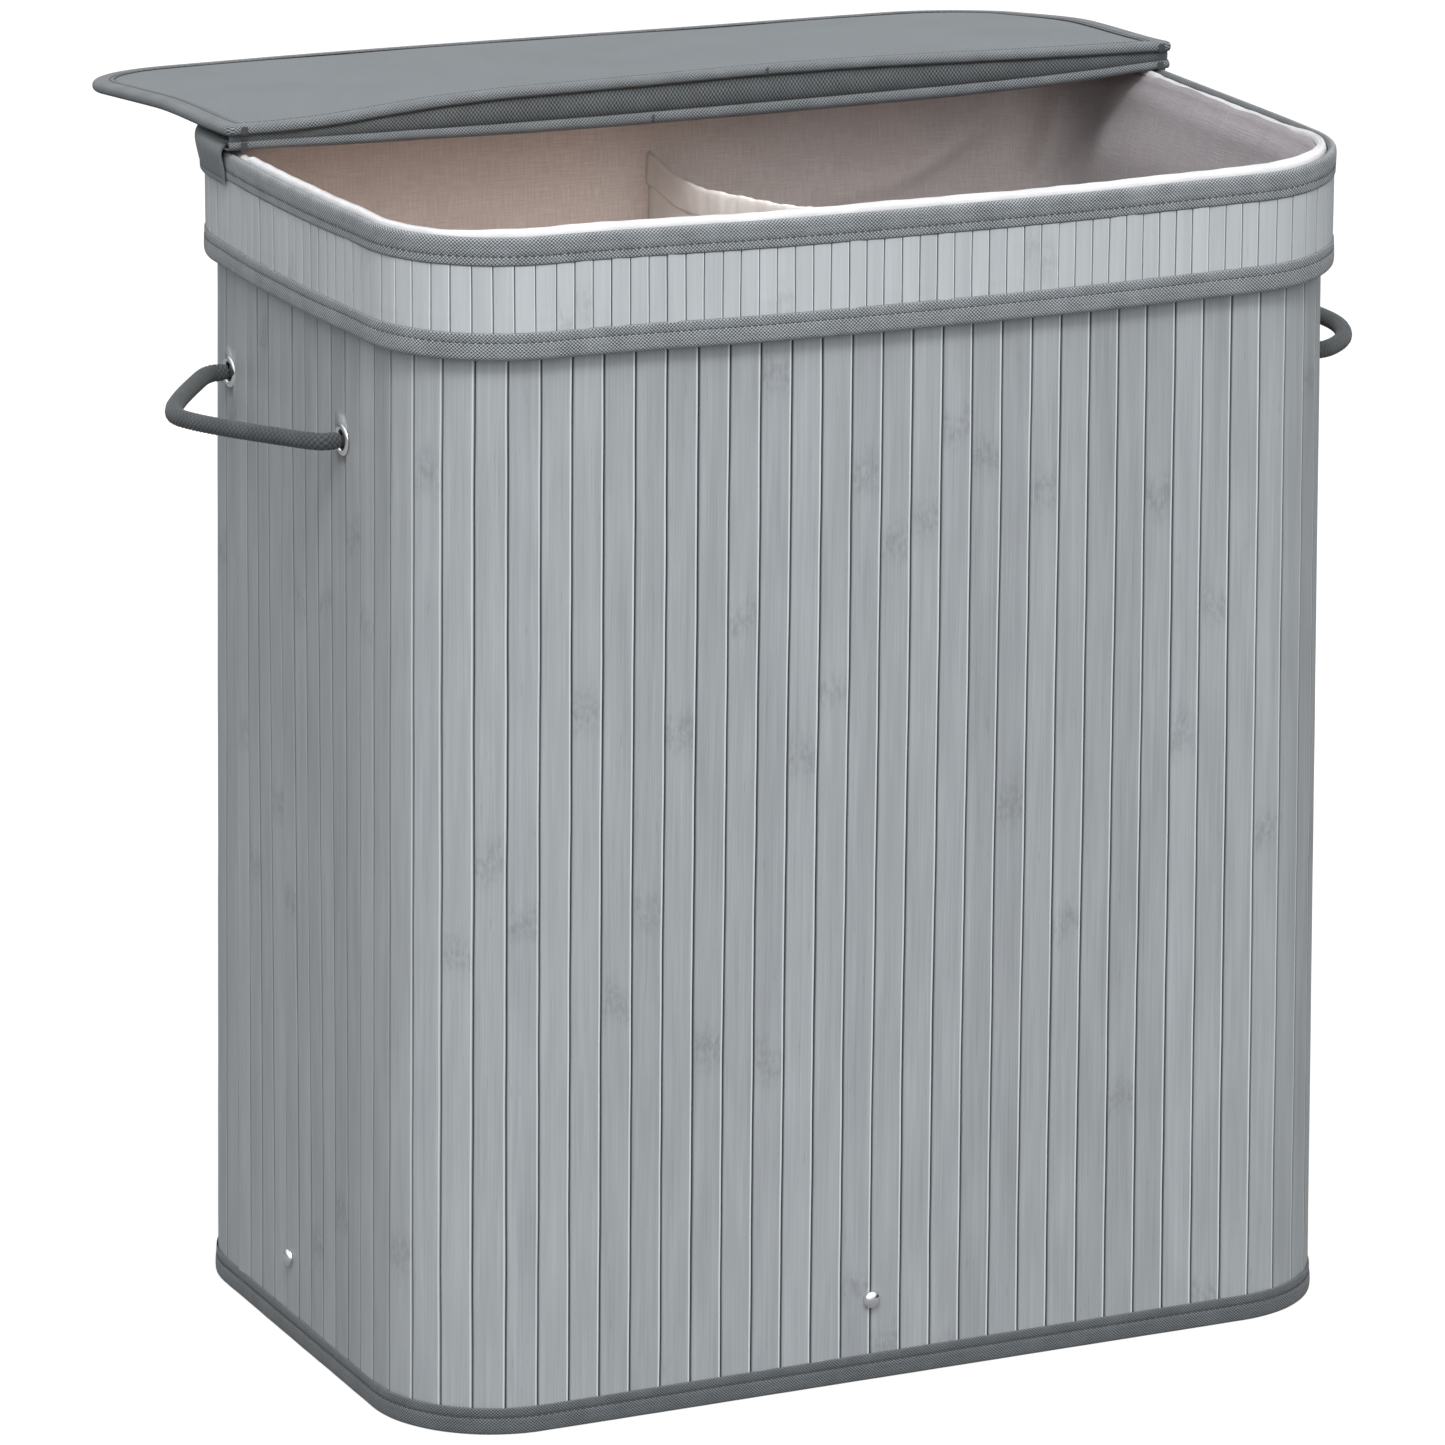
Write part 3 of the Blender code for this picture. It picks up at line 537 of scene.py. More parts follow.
def linen(name, base, thread, dark):
    """Slubby linen: fine threads both ways, thick pale ones, and cloudy patches; painted shade makes it
    duller towards +X and much darker at the right-hand wall.
    """
    f = Finish(name, 0.93, Sheen_Weight=0.1)
    u, v = f.lay()

    def threads(across, down, detail=3.0, rough=0.65, layer=0.0):
        """Noise with this many waves to the metre each way."""
        return f.noise(f.join(u * across, v * down, layer), 1.0, detail, rough)

    weave = threads(70.0, 1500.0) + threads(1500.0, 70.0)
    slubs = f.maths(
        "MAXIMUM",
        f.between(threads(700.0, 45.0, 2.0, 0.5), 0.66, 0.78),
        f.between(threads(45.0, 700.0, 2.0, 0.5, 5.0), 0.66, 0.78),
    )
    cloth = f.mix(f.between(weave, 0.75, 1.3), dark, base)
    cloth = f.mix(slubs * 0.75, cloth, thread)
    cloth = f.mix(f.between(f.noise(f.join(u, v), 9.0, 4.0, 0.6), 0.35, 0.65, 0.0, 0.30), cloth, dark)
    x = f.node("SeparateXYZ", {0: f.place()}).outputs[0]
    # Painted shade by x: duller and cooler towards +X, and much darker at the right-hand wall inside.
    for low, high, shade in ((-0.10, 0.24, (0.80, 0.86, 0.93)), (0.205, 0.245, (0.40, 0.40, 0.425))):
        cloth = f.mix(f.between(x, low, high), cloth, f.mix(1.0, cloth, shade, "MULTIPLY"))
    f.colour(cloth)
    f.bump(weave + slubs, 0.00025)
    return f.material


def cotton(name, base, shade):
    """Plain unbleached cotton."""
    f = Finish(name, 0.95, Sheen_Weight=0.1)
    u, v = f.lay()
    at = f.join(u, v)
    weave = f.wave(u, 0.0009) * f.wave(v, 0.0009)
    fibre = f.noise(at, 1500.0, 2.0, 0.6)
    level = weave * 0.12 + (fibre * 0.3 + f.noise(at, 24.0, 4.0, 0.6))
    f.colour(f.mix(f.between(level, 0.45, 0.95), shade, base))
    f.bump(weave + fibre, 0.00015)
    return f.material


def braid():
    """Braided rope: pale on top of each strand, painted shade in the valleys, with loose fibres."""
    f = Finish("rope_looks", 0.92, Sheen_Weight=0.12, Sheen_Roughness=0.6)
    at = f.place()
    fibre = f.noise(at, 1400.0, 3.0, 0.6)
    # Painted shade: crest is low in the valleys between strands, where the colour goes dark.
    level = f.clamp(f.value("crest") * 0.75 + fibre * 0.4 + (f.noise(at, 90.0, 2.0) - 0.5) * 0.5)
    f.colour(f.mix(level, tint(14, 17, 20), tint(72, 77, 80)))
    f.bump(fibre, 0.0003)
    return f.material


def metal(name, colour, roughness, brushed):
    """Plated or drawn metal with faint wear."""
    f = Finish(name, roughness, Metallic=1.0)
    wear = f.noise(f.place(), 260.0, 3.0)
    streak = f.noise(f.vector("MULTIPLY", f.place(), (60.0, 60.0, 1800.0)), 1.0, 2.0)
    f.rough(f.between(wear, 0.3, 0.7, roughness, roughness + 0.08 + 0.15 * brushed))
    f.colour(f.mix(f.between(wear, 0.2, 0.9, 0.0, 0.35), colour, scaled(colour, 0.6)))
    f.bump(wear + streak * brushed, 0.00002)
    return f.material


def board(name, pale, dark, grain):
    """Pressed board or sawn softwood: flecks, or growth rings stretched along X and Y."""
    f = Finish(name, 0.82)
    at = f.place()
    fleck = f.noise(at, 420.0, 4.0, 0.7)
    ring = f.noise(f.vector("MULTIPLY", at, (12.0, 12.0, 300.0)), 1.0, 3.0)
    level = fleck * (1 - grain) + ring * grain
    f.colour(f.mix(f.between(level, 0.3, 0.7), dark, pale))
    f.bump(level, 0.0001)
    return f.material


SLAT_BAMBOO = bamboo("slat_bamboo", tint(162, 167, 170), tint(124, 128, 131), 0.8)
RING_BAMBOO = bamboo("ring_bamboo", tint(180, 185, 188), tint(152, 156, 159), 0.6)
TAPE = twill("tape_twill", tint(160, 166, 170), tint(12, 15, 18), 0.0019)
DARK_TAPE = twill("hinge_twill", tint(104, 110, 113), tint(10, 12, 15))
EDGE_TAPE = twill("edge_twill", tint(132, 138, 142), tint(8, 10, 13), 0.0019, 0.0004)
FOOT_TAPE = twill("foot_twill", tint(112, 118, 122), tint(16, 19, 22), 0.0017)
THREAD = twill("sewing_thread", tint(70, 74, 78), tint(34, 37, 40), 0.0006, 0.00005)
LID_CLOTH = lid_cloth()
LINEN = linen("liner_linen", tint(236, 224, 217), tint(248, 242, 238), tint(216, 200, 192))
COTTON = cotton("cuff_cotton", tint(219, 219, 221), tint(194, 194, 197))
DIVIDER = cotton("divider_cotton", tint(250, 246, 243), tint(236, 230, 226))
ROPE = braid()
CHROME = metal("chrome_plate", tint(232, 233, 236), 0.1, 0.0)
STEEL = metal("drawn_wire", tint(190, 191, 193), 0.35, 1.0)
BOARD = board("pressed_board", tint(168, 142, 112), tint(120, 98, 74), 0.1)
WOOD = board("sawn_batten", tint(214, 186, 146), tint(176, 144, 104), 0.8)
BACKING = twill("backing_cloth_looks", tint(96, 98, 100), tint(48, 50, 52), 0.0012, 0.0001)


# ---------------------------------------------------------------- slats


def slat_outline(thickness, left, right, bevel, painted_highlight):
    """The section of one slat as (across, outwards, edge), from its left end round its face and back inside.

    edge is a painted highlight of strength painted_highlight on the right-hand bevel, and -1, painted shade,
    low on both sides of the joint."""
    shares = (0.0, 0.25, 0.5, 0.75, 1.0)
    inner, width = left + 1.5 * bevel, right - left - 3.75 * bevel
    face = [(inner + share * width, 0.00012 * math.sin(math.pi * share), 0) for share in shares]
    return [
        (left, -thickness, -1),
        (left, -0.0010, -1),
        (left + 0.12 * bevel, -0.00055, -1),
        (left + 0.42 * bevel, -0.00018, -0.75),
        (left + 0.85 * bevel, -0.00005, -0.22),
        *face,
        (right - 1.95 * bevel, -0.00002, painted_highlight),
        (right - 0.90 * bevel, -0.00008, painted_highlight),
        (right - 0.62 * bevel, -0.00016, 0.3 * painted_highlight - 0.3),
        (right - 0.40 * bevel, -0.00030, -0.8),
        (right - 0.14 * bevel, -0.00055, -1),
        (right, -0.0010, -1),
        (right, -thickness, -1),
    ]


def slat_run(
    name, finish, first, count, slats, low, high,
    face, thickness, gap, bevel, spread, rows, seed, painted_highlight, thread=None,
):
    """A run of slats from joint to joint, each one straight across, a little bowed, with its own edges.

    face is how far their faces stand outside the wall's, and thread the height of a thread across them."""
    shape = Shape()
    draw = np.random.default_rng(seed)
    z = np.linspace(low, high, rows)
    for slat in range(first, first + count):
        ends, normals = zip(*(plan(joint / slats, z if spread else None) for joint in (slat, slat + 1)))
        ends = [np.broadcast_to(end + face * normal, (rows, 2)) for end, normal in zip(ends, normals)]
        along = ends[1] - ends[0]
        length = np.linalg.norm(along, axis=1)
        along = along / length[:, None]
        out = np.stack([along[:, 1], -along[:, 0]], -1)
        wander = [0.00022 * ripple(z, 900 + 7 * (joint % slats) + slats) for joint in (slat, slat + 1)]
        lift = draw.normal(0, 0.00008) + 0.00009 * ripple(z, 300 + slat + slats)
        tilt = draw.normal(0, 0.00010) + 0.00008 * ripple(z, 600 + slat + slats)
        left, right = gap / 2 + wander[0], length - gap / 2 + wander[1]
        outlines = [slat_outline(thickness, *sides, bevel, painted_highlight) for sides in zip(left, right)]
        across, outwards, edge = np.moveaxis(np.array(outlines), -1, 0)
        outwards = outwards + lift[:, None] + tilt[:, None] * (across / length[:, None] - 0.5) * 2
        if thread is not None:
            line = thread + 0.0004 * draw.normal()
            ridge = np.exp(-(((z - line) / 0.0005) ** 2))[:, None] * (outwards > -0.0004)
            outwards = outwards + 0.00016 * ridge
        xy = ends[0][:, None] + across[..., None] * along[:, None] + outwards[..., None] * out[:, None]
        fall = ring_drop(xy) * (smooth(0.48, 0.57, z)[:, None] if spread else 1)
        points = np.concatenate([xy, (z[:, None] - fall)[..., None]], -1)
        lay = np.stack([across, np.broadcast_to(z[:, None], across.shape)], -1)
        lay = np.concatenate([lay, lay[:, :1]], 1)
        # edge carries the painted highlight and the painted shade beside the joints into the material.
        shape.grid(
            points, lay, wrap=(False, True), flip=True, ends=True, edge=edge,
            tone=np.clip(draw.normal(0, 0.45), -1, 1), seed=draw.uniform(),
            knot=draw.uniform(0, 0.5), span=draw.uniform(0.34, 0.75),
        )
    return shape.build(name, finish, shade=60)


# How strongly the painted highlight shows on the right-hand edges of each run's slats.
PAINTED_HIGHLIGHT = dict(zip(PLACES, (1.0, 0.8, 0.5, 0.4, 0.4, 0.2, 0.1, 0.7)))


def make_slats():
    """The wall's slats, in the eight runs of the frame."""
    counts = (24, 5, 14, 5, 24, 5, 14, 5)
    low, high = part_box("slats_front")[0].z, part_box("slats_front")[1].z
    joint = -12
    for number, (place, count) in enumerate(zip(PLACES, counts)):
        made = slat_run(
            f"{place}_slats", SLAT_BAMBOO, joint, count, WALL_SLATS, low, high,
            0.0, 0.0022, 0.00056, 0.00060, True, 44, 11 + number, PAINTED_HIGHLIGHT[place],
        )
        if place in ("left", "right"):
            drill_slats(made, place)
        piece(made, "hamper", "bamboo", f"slats_{place}")
        joint += count


def drill_slats(made, side):
    """Holes in the slats for the eyelets, turned a little so that no corner lies on a slat's edge."""
    angle = np.linspace(0, 2 * math.pi, 24, endpoint=False) + 0.11
    y, z = HOLE_RADIUS * np.cos(angle), HOLE_RADIUS * np.sin(angle)
    for end in ("front", "rear"):
        low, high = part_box(f"{side}_eyelet_{end}")
        middle = (low + high) / 2
        ring = [
            np.stack([np.full(24, middle.x + depth), middle.y + y, middle.z + z], -1)
            for depth in (-0.012, 0.012)
        ]
        cutter = Shape()
        cutter.grid(np.array(ring), wrap=(False, True), ends=True)
        tool = cutter.build(f"drill_{side}_{end}", CHROME)
        hole = made.modifiers.new("hole", "BOOLEAN")
        hole.operation = "DIFFERENCE"
        hole.solver = "EXACT"
        hole.use_self = True
        hole.object = tool
        applied(made)
        bpy.data.objects.remove(tool)


def make_ring_slats():
    """The lid ring's narrow slats, caught by a thread that shows as a faint line across them."""
    counts = (40, 9, 24, 9, 40, 9, 24, 9)
    low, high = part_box("ring_slats_front")[0].z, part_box("ring_slats_front")[1].z
    joint = -20
    for number, (place, count) in enumerate(zip(PLACES, counts)):
        made = slat_run(
            f"ring_{place}_slats", RING_BAMBOO, joint, count, RING_SLATS, low, high,
            0.006, 0.0018, 0.00026, 0.00034, False, 30, 51 + number, 0.8 * PAINTED_HIGHLIGHT[place], thread=RING_THREAD,
        )
        piece(made, "lid", "bamboo", f"ring_slats_{place}")
        joint += count


# ---------------------------------------------------------------- tapes and stitching


def tape_band(name, finish, profile, spread, seed, puff=0.00012, steps=720, shaded=-1.0):
    """A tape all the way round: profile is a closed loop of (offset, z), with painted shade inside the offset
    shaded.
    """
    share = np.arange(steps) / steps
    offset, z = np.array(profile).T
    waves = ((PERIMETER / 11, 0.4), (PERIMETER / 29, 0.3), (PERIMETER / 67, 0.3))
    swell = puff * ripple(share * PERIMETER, seed, waves)
    outward = smooth(np.min(offset), np.max(offset), offset)
    points = wall_points(share[:, None], offset + swell[:, None] * outward, z, spread)
    # fold holds painted shade on the side of the tape inside the offset shaded.
    fold = 0.62 * smooth(shaded + 0.0012, shaded, offset)
    shape = Shape()
    shape.grid(points, lay_of(points, (True, True), turn=True), wrap=(True, True), fold=fold)
    return shape.build(name, finish, shade=None)


def stitches(name, body, places, slot="edge_tape", length=0.0024, radius=0.00022):
    """A run of sewing stitches: places holds (point, direction, outwards) for each."""
    shape = Shape()
    share = np.array([0.0, 0.08, 0.25, 0.75, 0.92, 1.0])
    size = np.array([0.25, 0.8, 1.0, 1.0, 0.8, 0.25]) * radius
    angle = np.linspace(0, 2 * math.pi, 6, endpoint=False)
    for point, along, outwards in places:
        aside = np.cross(along, outwards)
        rise = 0.35 * radius * np.sin(math.pi * share)
        middle = point + (share[:, None] - 0.5) * length * along + rise[:, None] * outwards
        ring = np.cos(angle)[None, :, None] * outwards + np.sin(angle)[None, :, None] * aside
        points = middle[:, None] + size[:, None, None] * ring
        shape.grid(points, lay_of(points, (False, True)), wrap=(False, True), ends=True)
    return piece(shape.build(name, THREAD, shade=None), body, slot)


def wall_stitches(name, body, share, ahead, offset, z, spread, slot="edge_tape"):
    """Stitches beside the wall at the given shares, each one pointing at the place ahead of it."""
    point = wall_points(share, offset, z, spread)
    along = wall_points(share + ahead, offset, z, spread) - point
    along /= np.linalg.norm(along, axis=1)[:, None]
    normal = plan(share, z if spread else None)[1]
    outwards = np.concatenate([normal, np.zeros((len(share), 1))], 1)
    return stitches(name, body, zip(point, along, outwards), slot)


def round_stitches(name, body, offset, z, spread):
    """Stitches all the way round, at one height."""
    count = round(PERIMETER / ROUND_PITCH)
    share = (np.arange(count) + 0.5) / count
    return wall_stitches(name, body, share, 0.2 / count, offset, z, spread)


def make_tapes():
    """The tapes that bind the wall's foot and both edges of the lid's ring."""
    foot = [
        (0.00035, 0.0134), (0.00060, 0.0130), (0.00072, 0.0112), (0.00068, 0.0098), (0.00035, 0.0091),
        (0.00035, 0.0086),
        (0.00080, 0.0079), (0.00105, 0.0060), (0.00115, 0.0035), (0.00105, 0.0014), (0.00060, 0.0003),
        (-0.00050, 0.0000),
        (-0.0028, 0.0000), (-0.0040, 0.0004), (-0.0044, 0.0016), (-0.0044, 0.0131), (-0.0038, 0.0131),
        (-0.0037, 0.0018),
        (-0.0028, 0.0009), (-0.0004, 0.0009), (0.0002, 0.0016), (0.0002, 0.0128),
    ]
    made = tape_band("foot_tape", FOOT_TAPE, fine(foot, 2), True, 3)
    piece(made, "hamper", "edge_tape", "bottom_binding")
    round_stitches("foot_stitches", "hamper", 0.00050, 0.00885, True)
    inside, outside = ring_high.x - 0.0044 - WIDTH / 2, RING_OUTSET
    for name, node, edge, sign in (
        ("ring_top_tape", "ring_top_binding", RING_TOP, -1),
        ("ring_foot_tape", "ring_bottom_binding", RING_LOW, 1),
    ):
        leg = [
            (outside - 0.00065, 0.0133), (outside - 0.00030, 0.0130), (outside - 0.00022, 0.0110),
            (outside - 0.00025, 0.0099),
            (outside - 0.00040, 0.0093), (outside - 0.00040, 0.0088), (outside - 0.00015, 0.0081),
            (outside, 0.0060), (outside, 0.0030),
            (outside - 0.0003, 0.0012), (outside - 0.0011, 0.0003), (outside - 0.0020, 0.0000),
            (inside + 0.0011, 0.0003),
            (inside + 0.0003, 0.0010), (inside, 0.0022), (inside, 0.0130), (inside + 0.0005, 0.0130),
            (inside + 0.0006, 0.0026),
            (inside + 0.0012, 0.0010), (outside - 0.0018, 0.0010), (outside - 0.0010, 0.0022),
            (outside - 0.0009, 0.0128),
        ]
        profile = [(offset, edge + sign * depth) for offset, depth in leg]
        profile = profile if sign > 0 else profile[::-1]
        # The ring tapes get painted shade on their inner legs.
        made = tape_band(name, TAPE, fine(profile, 2), False, 5 + sign, shaded=inside + 0.0010)
        piece(made, "lid", "edge_tape", node)
        round_stitches(f"{name}_stitches", "lid", outside - 0.00030, edge + sign * 0.00905, False)


def make_backings():
    """The cloth behind the slats, the tape over the wall's rim, and the wire that shapes the mouth."""
    top = BODY_TOP + 0.0008
    sections = (
        ("wall_cloth", "wall_backing", BACKING, True, "hamper", (
            (-0.0031, 0.0012), (-0.0025, 0.0012), (-0.0025, BODY_TOP), (-0.0031, BODY_TOP),
        )),
        ("ring_cloth", "ring_backing", BACKING, False, "lid", (
            (0.0034, 0.5445), (0.0039, 0.5445), (0.0039, 0.6015), (0.0034, 0.6015),
        )),
        ("rim_tape", "top_binding", TAPE, True, "hamper", (
            (0.0008, top - 0.0133), (0.0008, top), (-0.0039, top), (-0.0039, top - 0.0133),
            (-0.0034, top - 0.0133), (-0.0034, top - 0.0005), (0.0003, top - 0.0005), (0.0003, top - 0.0133),
        )),
        ("mouth_wire", "rim_wire", STEEL, True, "hamper", [
            (-0.0057 + 0.0015 * across, 0.588 + 0.0015 * up) for across, up in arc((0, 0), 1, 0, 345, 12)
        ]),
    )
    for name, node, finish, spread, body, section in sections:
        made = tape_band(name, finish, section, spread, 7, puff=0.0, steps=360)
        fix_normals(made)
        slot = {"rim_wire": "rim_steel", "top_binding": "edge_tape"}.get(node, "backing_cloth")
        piece(made, body, slot, node)


# ---------------------------------------------------------------- base


def make_base():
    """The battens under the base board, and the screws that hold the battens through the wall."""
    for place in ("front", "back", "left", "right"):
        low, high = (np.array(corner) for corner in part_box(f"base_batten_{place}"))
        long = 0 if place in ("front", "back") else 1
        wide = 1 - long
        steps = np.linspace(0, 1, 25)
        half = (high - low) / 2
        middle = (high + low) / 2
        ring = []
        for turn, (a, b) in enumerate(((1, 1), (-1, 1), (-1, -1), (1, -1))):
            for x, y in arc((0, 0), 0.0016, 90 * turn, 90 * turn + 90, 4):
                ring.append((a * (half[wide] - 0.0016) + x, b * (half[2] - 0.0016) + y))
        ring = np.array(ring)
        rough = 0.00012 * np.random.default_rng(len(place)).normal(size=(25, len(ring)))
        points = np.zeros((25, len(ring), 3))
        points[..., long] = low[long] + steps[:, None] * (high - low)[long]
        points[..., wide] = middle[wide] + ring[None, :, 0] - np.abs(rough)
        points[..., 2] = middle[2] + ring[None, :, 1]
        made = solid(f"{place}_batten", WOOD, points, shade=50)
        piece(made, "hamper", "batten_wood", f"base_batten_{place}")
        make_screw(place)


def make_screw(place):
    """A domed screw head with a thin rim, and its shank in the wall and the batten."""
    low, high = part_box(f"base_screw_{place}")
    outwards = {"front": (0, -1, 0), "back": (0, 1, 0), "left": (-1, 0, 0), "right": (1, 0, 0)}[place]
    direction = np.array(outwards, float)
    middle = (np.array(low) + np.array(high)) / 2
    reach = np.abs((np.array(high) - np.array(low)) @ direction) / 2
    seat = middle + direction * (reach - 0.0035)
    dome = arc((0, 0.0006), 1.0, 0, 84, 12)
    head = [(0.0045 * x, 0.0009 + 0.0026 * (y - 0.0006)) for x, y in dome]
    shank = [(0.0002, 0.0035), (0.0002, -0.0125), (0.0008, -0.0110), (0.0016, -0.0100), (0.0016, 0.0002)]
    for k in range(5):
        shank.insert(3 + 2 * k, (0.0012, -0.0092 + 0.0016 * k))
        shank.insert(4 + 2 * k, (0.0017, -0.0085 + 0.0016 * k))
    profile = [*head, *shank, (0.0044, 0.0002), (0.0046, 0.0005)]
    made = lathe(f"{place}_screw", profile, seat, outwards, CHROME)
    piece(made, "hamper", "chrome", f"base_screw_{place}")


# ---------------------------------------------------------------- handles


# The front half of each handle's bow: distance out from the turning point against the share of its half span.
BOWS = {
    "left": (
        (-0.0045, 1.0), (0.0, 1.0), (0.0045, 0.99), (0.0105, 0.92), (0.020, 0.75), (0.029, 0.58),
        (0.038, 0.40), (0.0465, 0.20), (0.0510, 0.0),
    ),
    "right": (
        (-0.0045, 1.0), (0.0, 1.0), (0.006, 0.995), (0.017, 0.93), (0.029, 0.79), (0.040, 0.61),
        (0.0485, 0.40), (0.0535, 0.20), (0.0550, 0.0),
    ),
}


def handle_route(side):
    """The points along a handle's rope: a pointed bow on the left, a rounder, drooping one on the right."""
    sign = 1 if side == "right" else -1
    pivot = next(j for j in frame["joints"] if j["name"] == f"{side}_handle_swing")["pos_m"]
    half = BOWS[side]
    bow = [(out, -share) for out, share in half] + [(out, share) for out, share in half[-2::-1]]
    shift = [side_bow(side, pivot[1] + EYELET_HALF * share, ROPE_HEIGHT) for share in (-1, 1)]
    fall = 0.0040 if side == "right" else 0.0
    return np.array([
        (
            pivot[0] + sign * (out + np.interp(share, (-1, 1), shift)),
            pivot[1] + EYELET_HALF * share,
            ROPE_HEIGHT - fall * max(out, 0) / 0.055,
        )
        for out, share in bow
    ])


def rope_tube(name, line, radius, taper):
    """A braided rope along a line of points: two sets of strands that wind opposite ways, over and under."""
    steps, sides = len(line), 48
    along = np.gradient(line, axis=0)
    along /= np.linalg.norm(along, axis=1)[:, None]
    up = np.tile([0.0, 0.0, 1.0], (steps, 1))
    aside = np.cross(along, up)
    aside /= np.linalg.norm(aside, axis=1)[:, None]
    up = np.cross(aside, along)
    run = np.concatenate([[0], np.cumsum(np.linalg.norm(np.diff(line, axis=0), axis=1))])
    angle = np.linspace(0, 2 * math.pi, sides, endpoint=False)
    turn, here = np.meshgrid(angle, run)
    strands, lay_length = 8, 0.020
    wind = 2 * math.pi * here / lay_length
    one, other = np.cos(strands * (turn + wind)), np.cos(strands * (turn - wind))
    over = np.cos(strands * turn) * 0.5 + np.cos(2 * math.pi * here / (lay_length / 8)) * 0.5
    # crest, high on the strands' tops and low between them, also drives the painted shade of the rope's
    # material.
    crest = 0.5 + 0.5 * np.where(over > 0, one, other)
    crest = 0.25 + 0.35 * (one + other) / 2 + 0.4 * crest
    size = radius * taper[:, None] * (0.89 + 0.13 * crest)
    ring = np.cos(turn)[..., None] * aside[:, None] + np.sin(turn)[..., None] * up[:, None]
    return solid(name, ROPE, line[:, None] + size[..., None] * ring, crest=crest)


def make_handles():
    """Each handle: the rope's bow, two chromed eyelets, and the knots inside the wall."""
    for side in ("left", "right"):
        sign = 1 if side == "right" else -1
        route = fine(handle_route(side), 24, closed=False)
        spare = np.linalg.norm(route - route[0], axis=1), np.linalg.norm(route - route[-1], axis=1)
        near = np.minimum(*spare)
        taper = 0.86 + 0.14 * smooth(0.0, 0.003, near)
        made = rope_tube(f"{side}_rope", route, ROPE_RADIUS - 0.0001, taper)
        piece(made, f"{side}_handle", "rope", f"{side}_handle_rope")
        for end in ("front", "rear"):
            make_eyelet(side, end, sign)


def make_eyelet(side, end, sign):
    """A chromed eyelet, its turned rim proud of the wall, and the knot of rope behind it."""
    low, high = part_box(f"{side}_eyelet_{end}")
    middle = (np.array(low) + np.array(high)) / 2
    proud = 0.0014
    face = (high.x - proud if sign > 0 else low.x + proud) + sign * side_bow(side, middle[1], middle[2])
    origin = (face, middle[1], middle[2])
    rim = [
        (0.0052, 0.0002), (0.0053, 0.0008), (0.0058, 0.0013), (0.0064, 0.00142), (0.0071, 0.0012),
        (0.0077, 0.0008), (0.0080, 0.0004),
        (0.0079, 0.0002), (0.0072, 0.0003), (0.0063, 0.0003), (0.0060, -0.0003), (0.0060, -0.0033),
        (0.0068, -0.0035), (0.0072, -0.0039),
        (0.0068, -0.0042), (0.0054, -0.0041), (0.0052, -0.0036),
    ]
    made = lathe(f"{side}_{end}_eyelet", fine(rim, 2), origin, (sign, 0, 0), CHROME, 64)
    piece(made, "hamper", "chrome", f"{side}_eyelet_{end}")
    inner = np.linspace(-0.0012, -0.0128, 60)
    swell = smooth(-0.0046, -0.0066, inner) * (1 - smooth(-0.0106, -0.0128, inner))
    lump = 1 + 0.75 * swell
    line = np.stack([face + sign * inner, np.full(60, middle[1]), np.full(60, middle[2])], -1)
    knot = rope_tube(f"{side}_{end}_knot", line, ROPE_RADIUS - 0.0001, lump)
    piece(knot, "hamper", "rope", f"{side}_rope_end_{end}")


# ---------------------------------------------------------------- liner


def cuff_inner(share):
    """The offset of the cuff's inner fold: wide along the front, narrow along the sides."""
    point, _ = plan(share)
    run = np.asarray(share) * PERIMETER
    side = smooth(0.205, 0.248, np.abs(point[..., 0]))
    narrow = side * np.where(point[..., 0] > 0, 0.0086, 0.0090)
    waves = ((PERIMETER / 13, 0.4), (PERIMETER / 37, 0.35), (PERIMETER / 101, 0.25))
    return -0.0118 + narrow + (0.0006 - 0.0003 * side) * ripple(run, 72, waves)


def liner_place(share, height):
    """The offset of the liner's wall: it leans out to the cuff's fold, from lower down on the right."""
    east = smooth(0.18, 0.24, plan(share)[0][..., 0])
    lean = 0.5 * smooth(0.5545, 0.590, height) + 0.5 * smooth(0.588, 0.6005, height)
    rise = (1 - east) * smooth(0.5885, 0.5985, height) + east * lean
    return -0.0136 + (cuff_inner(share) + 0.0134) * rise


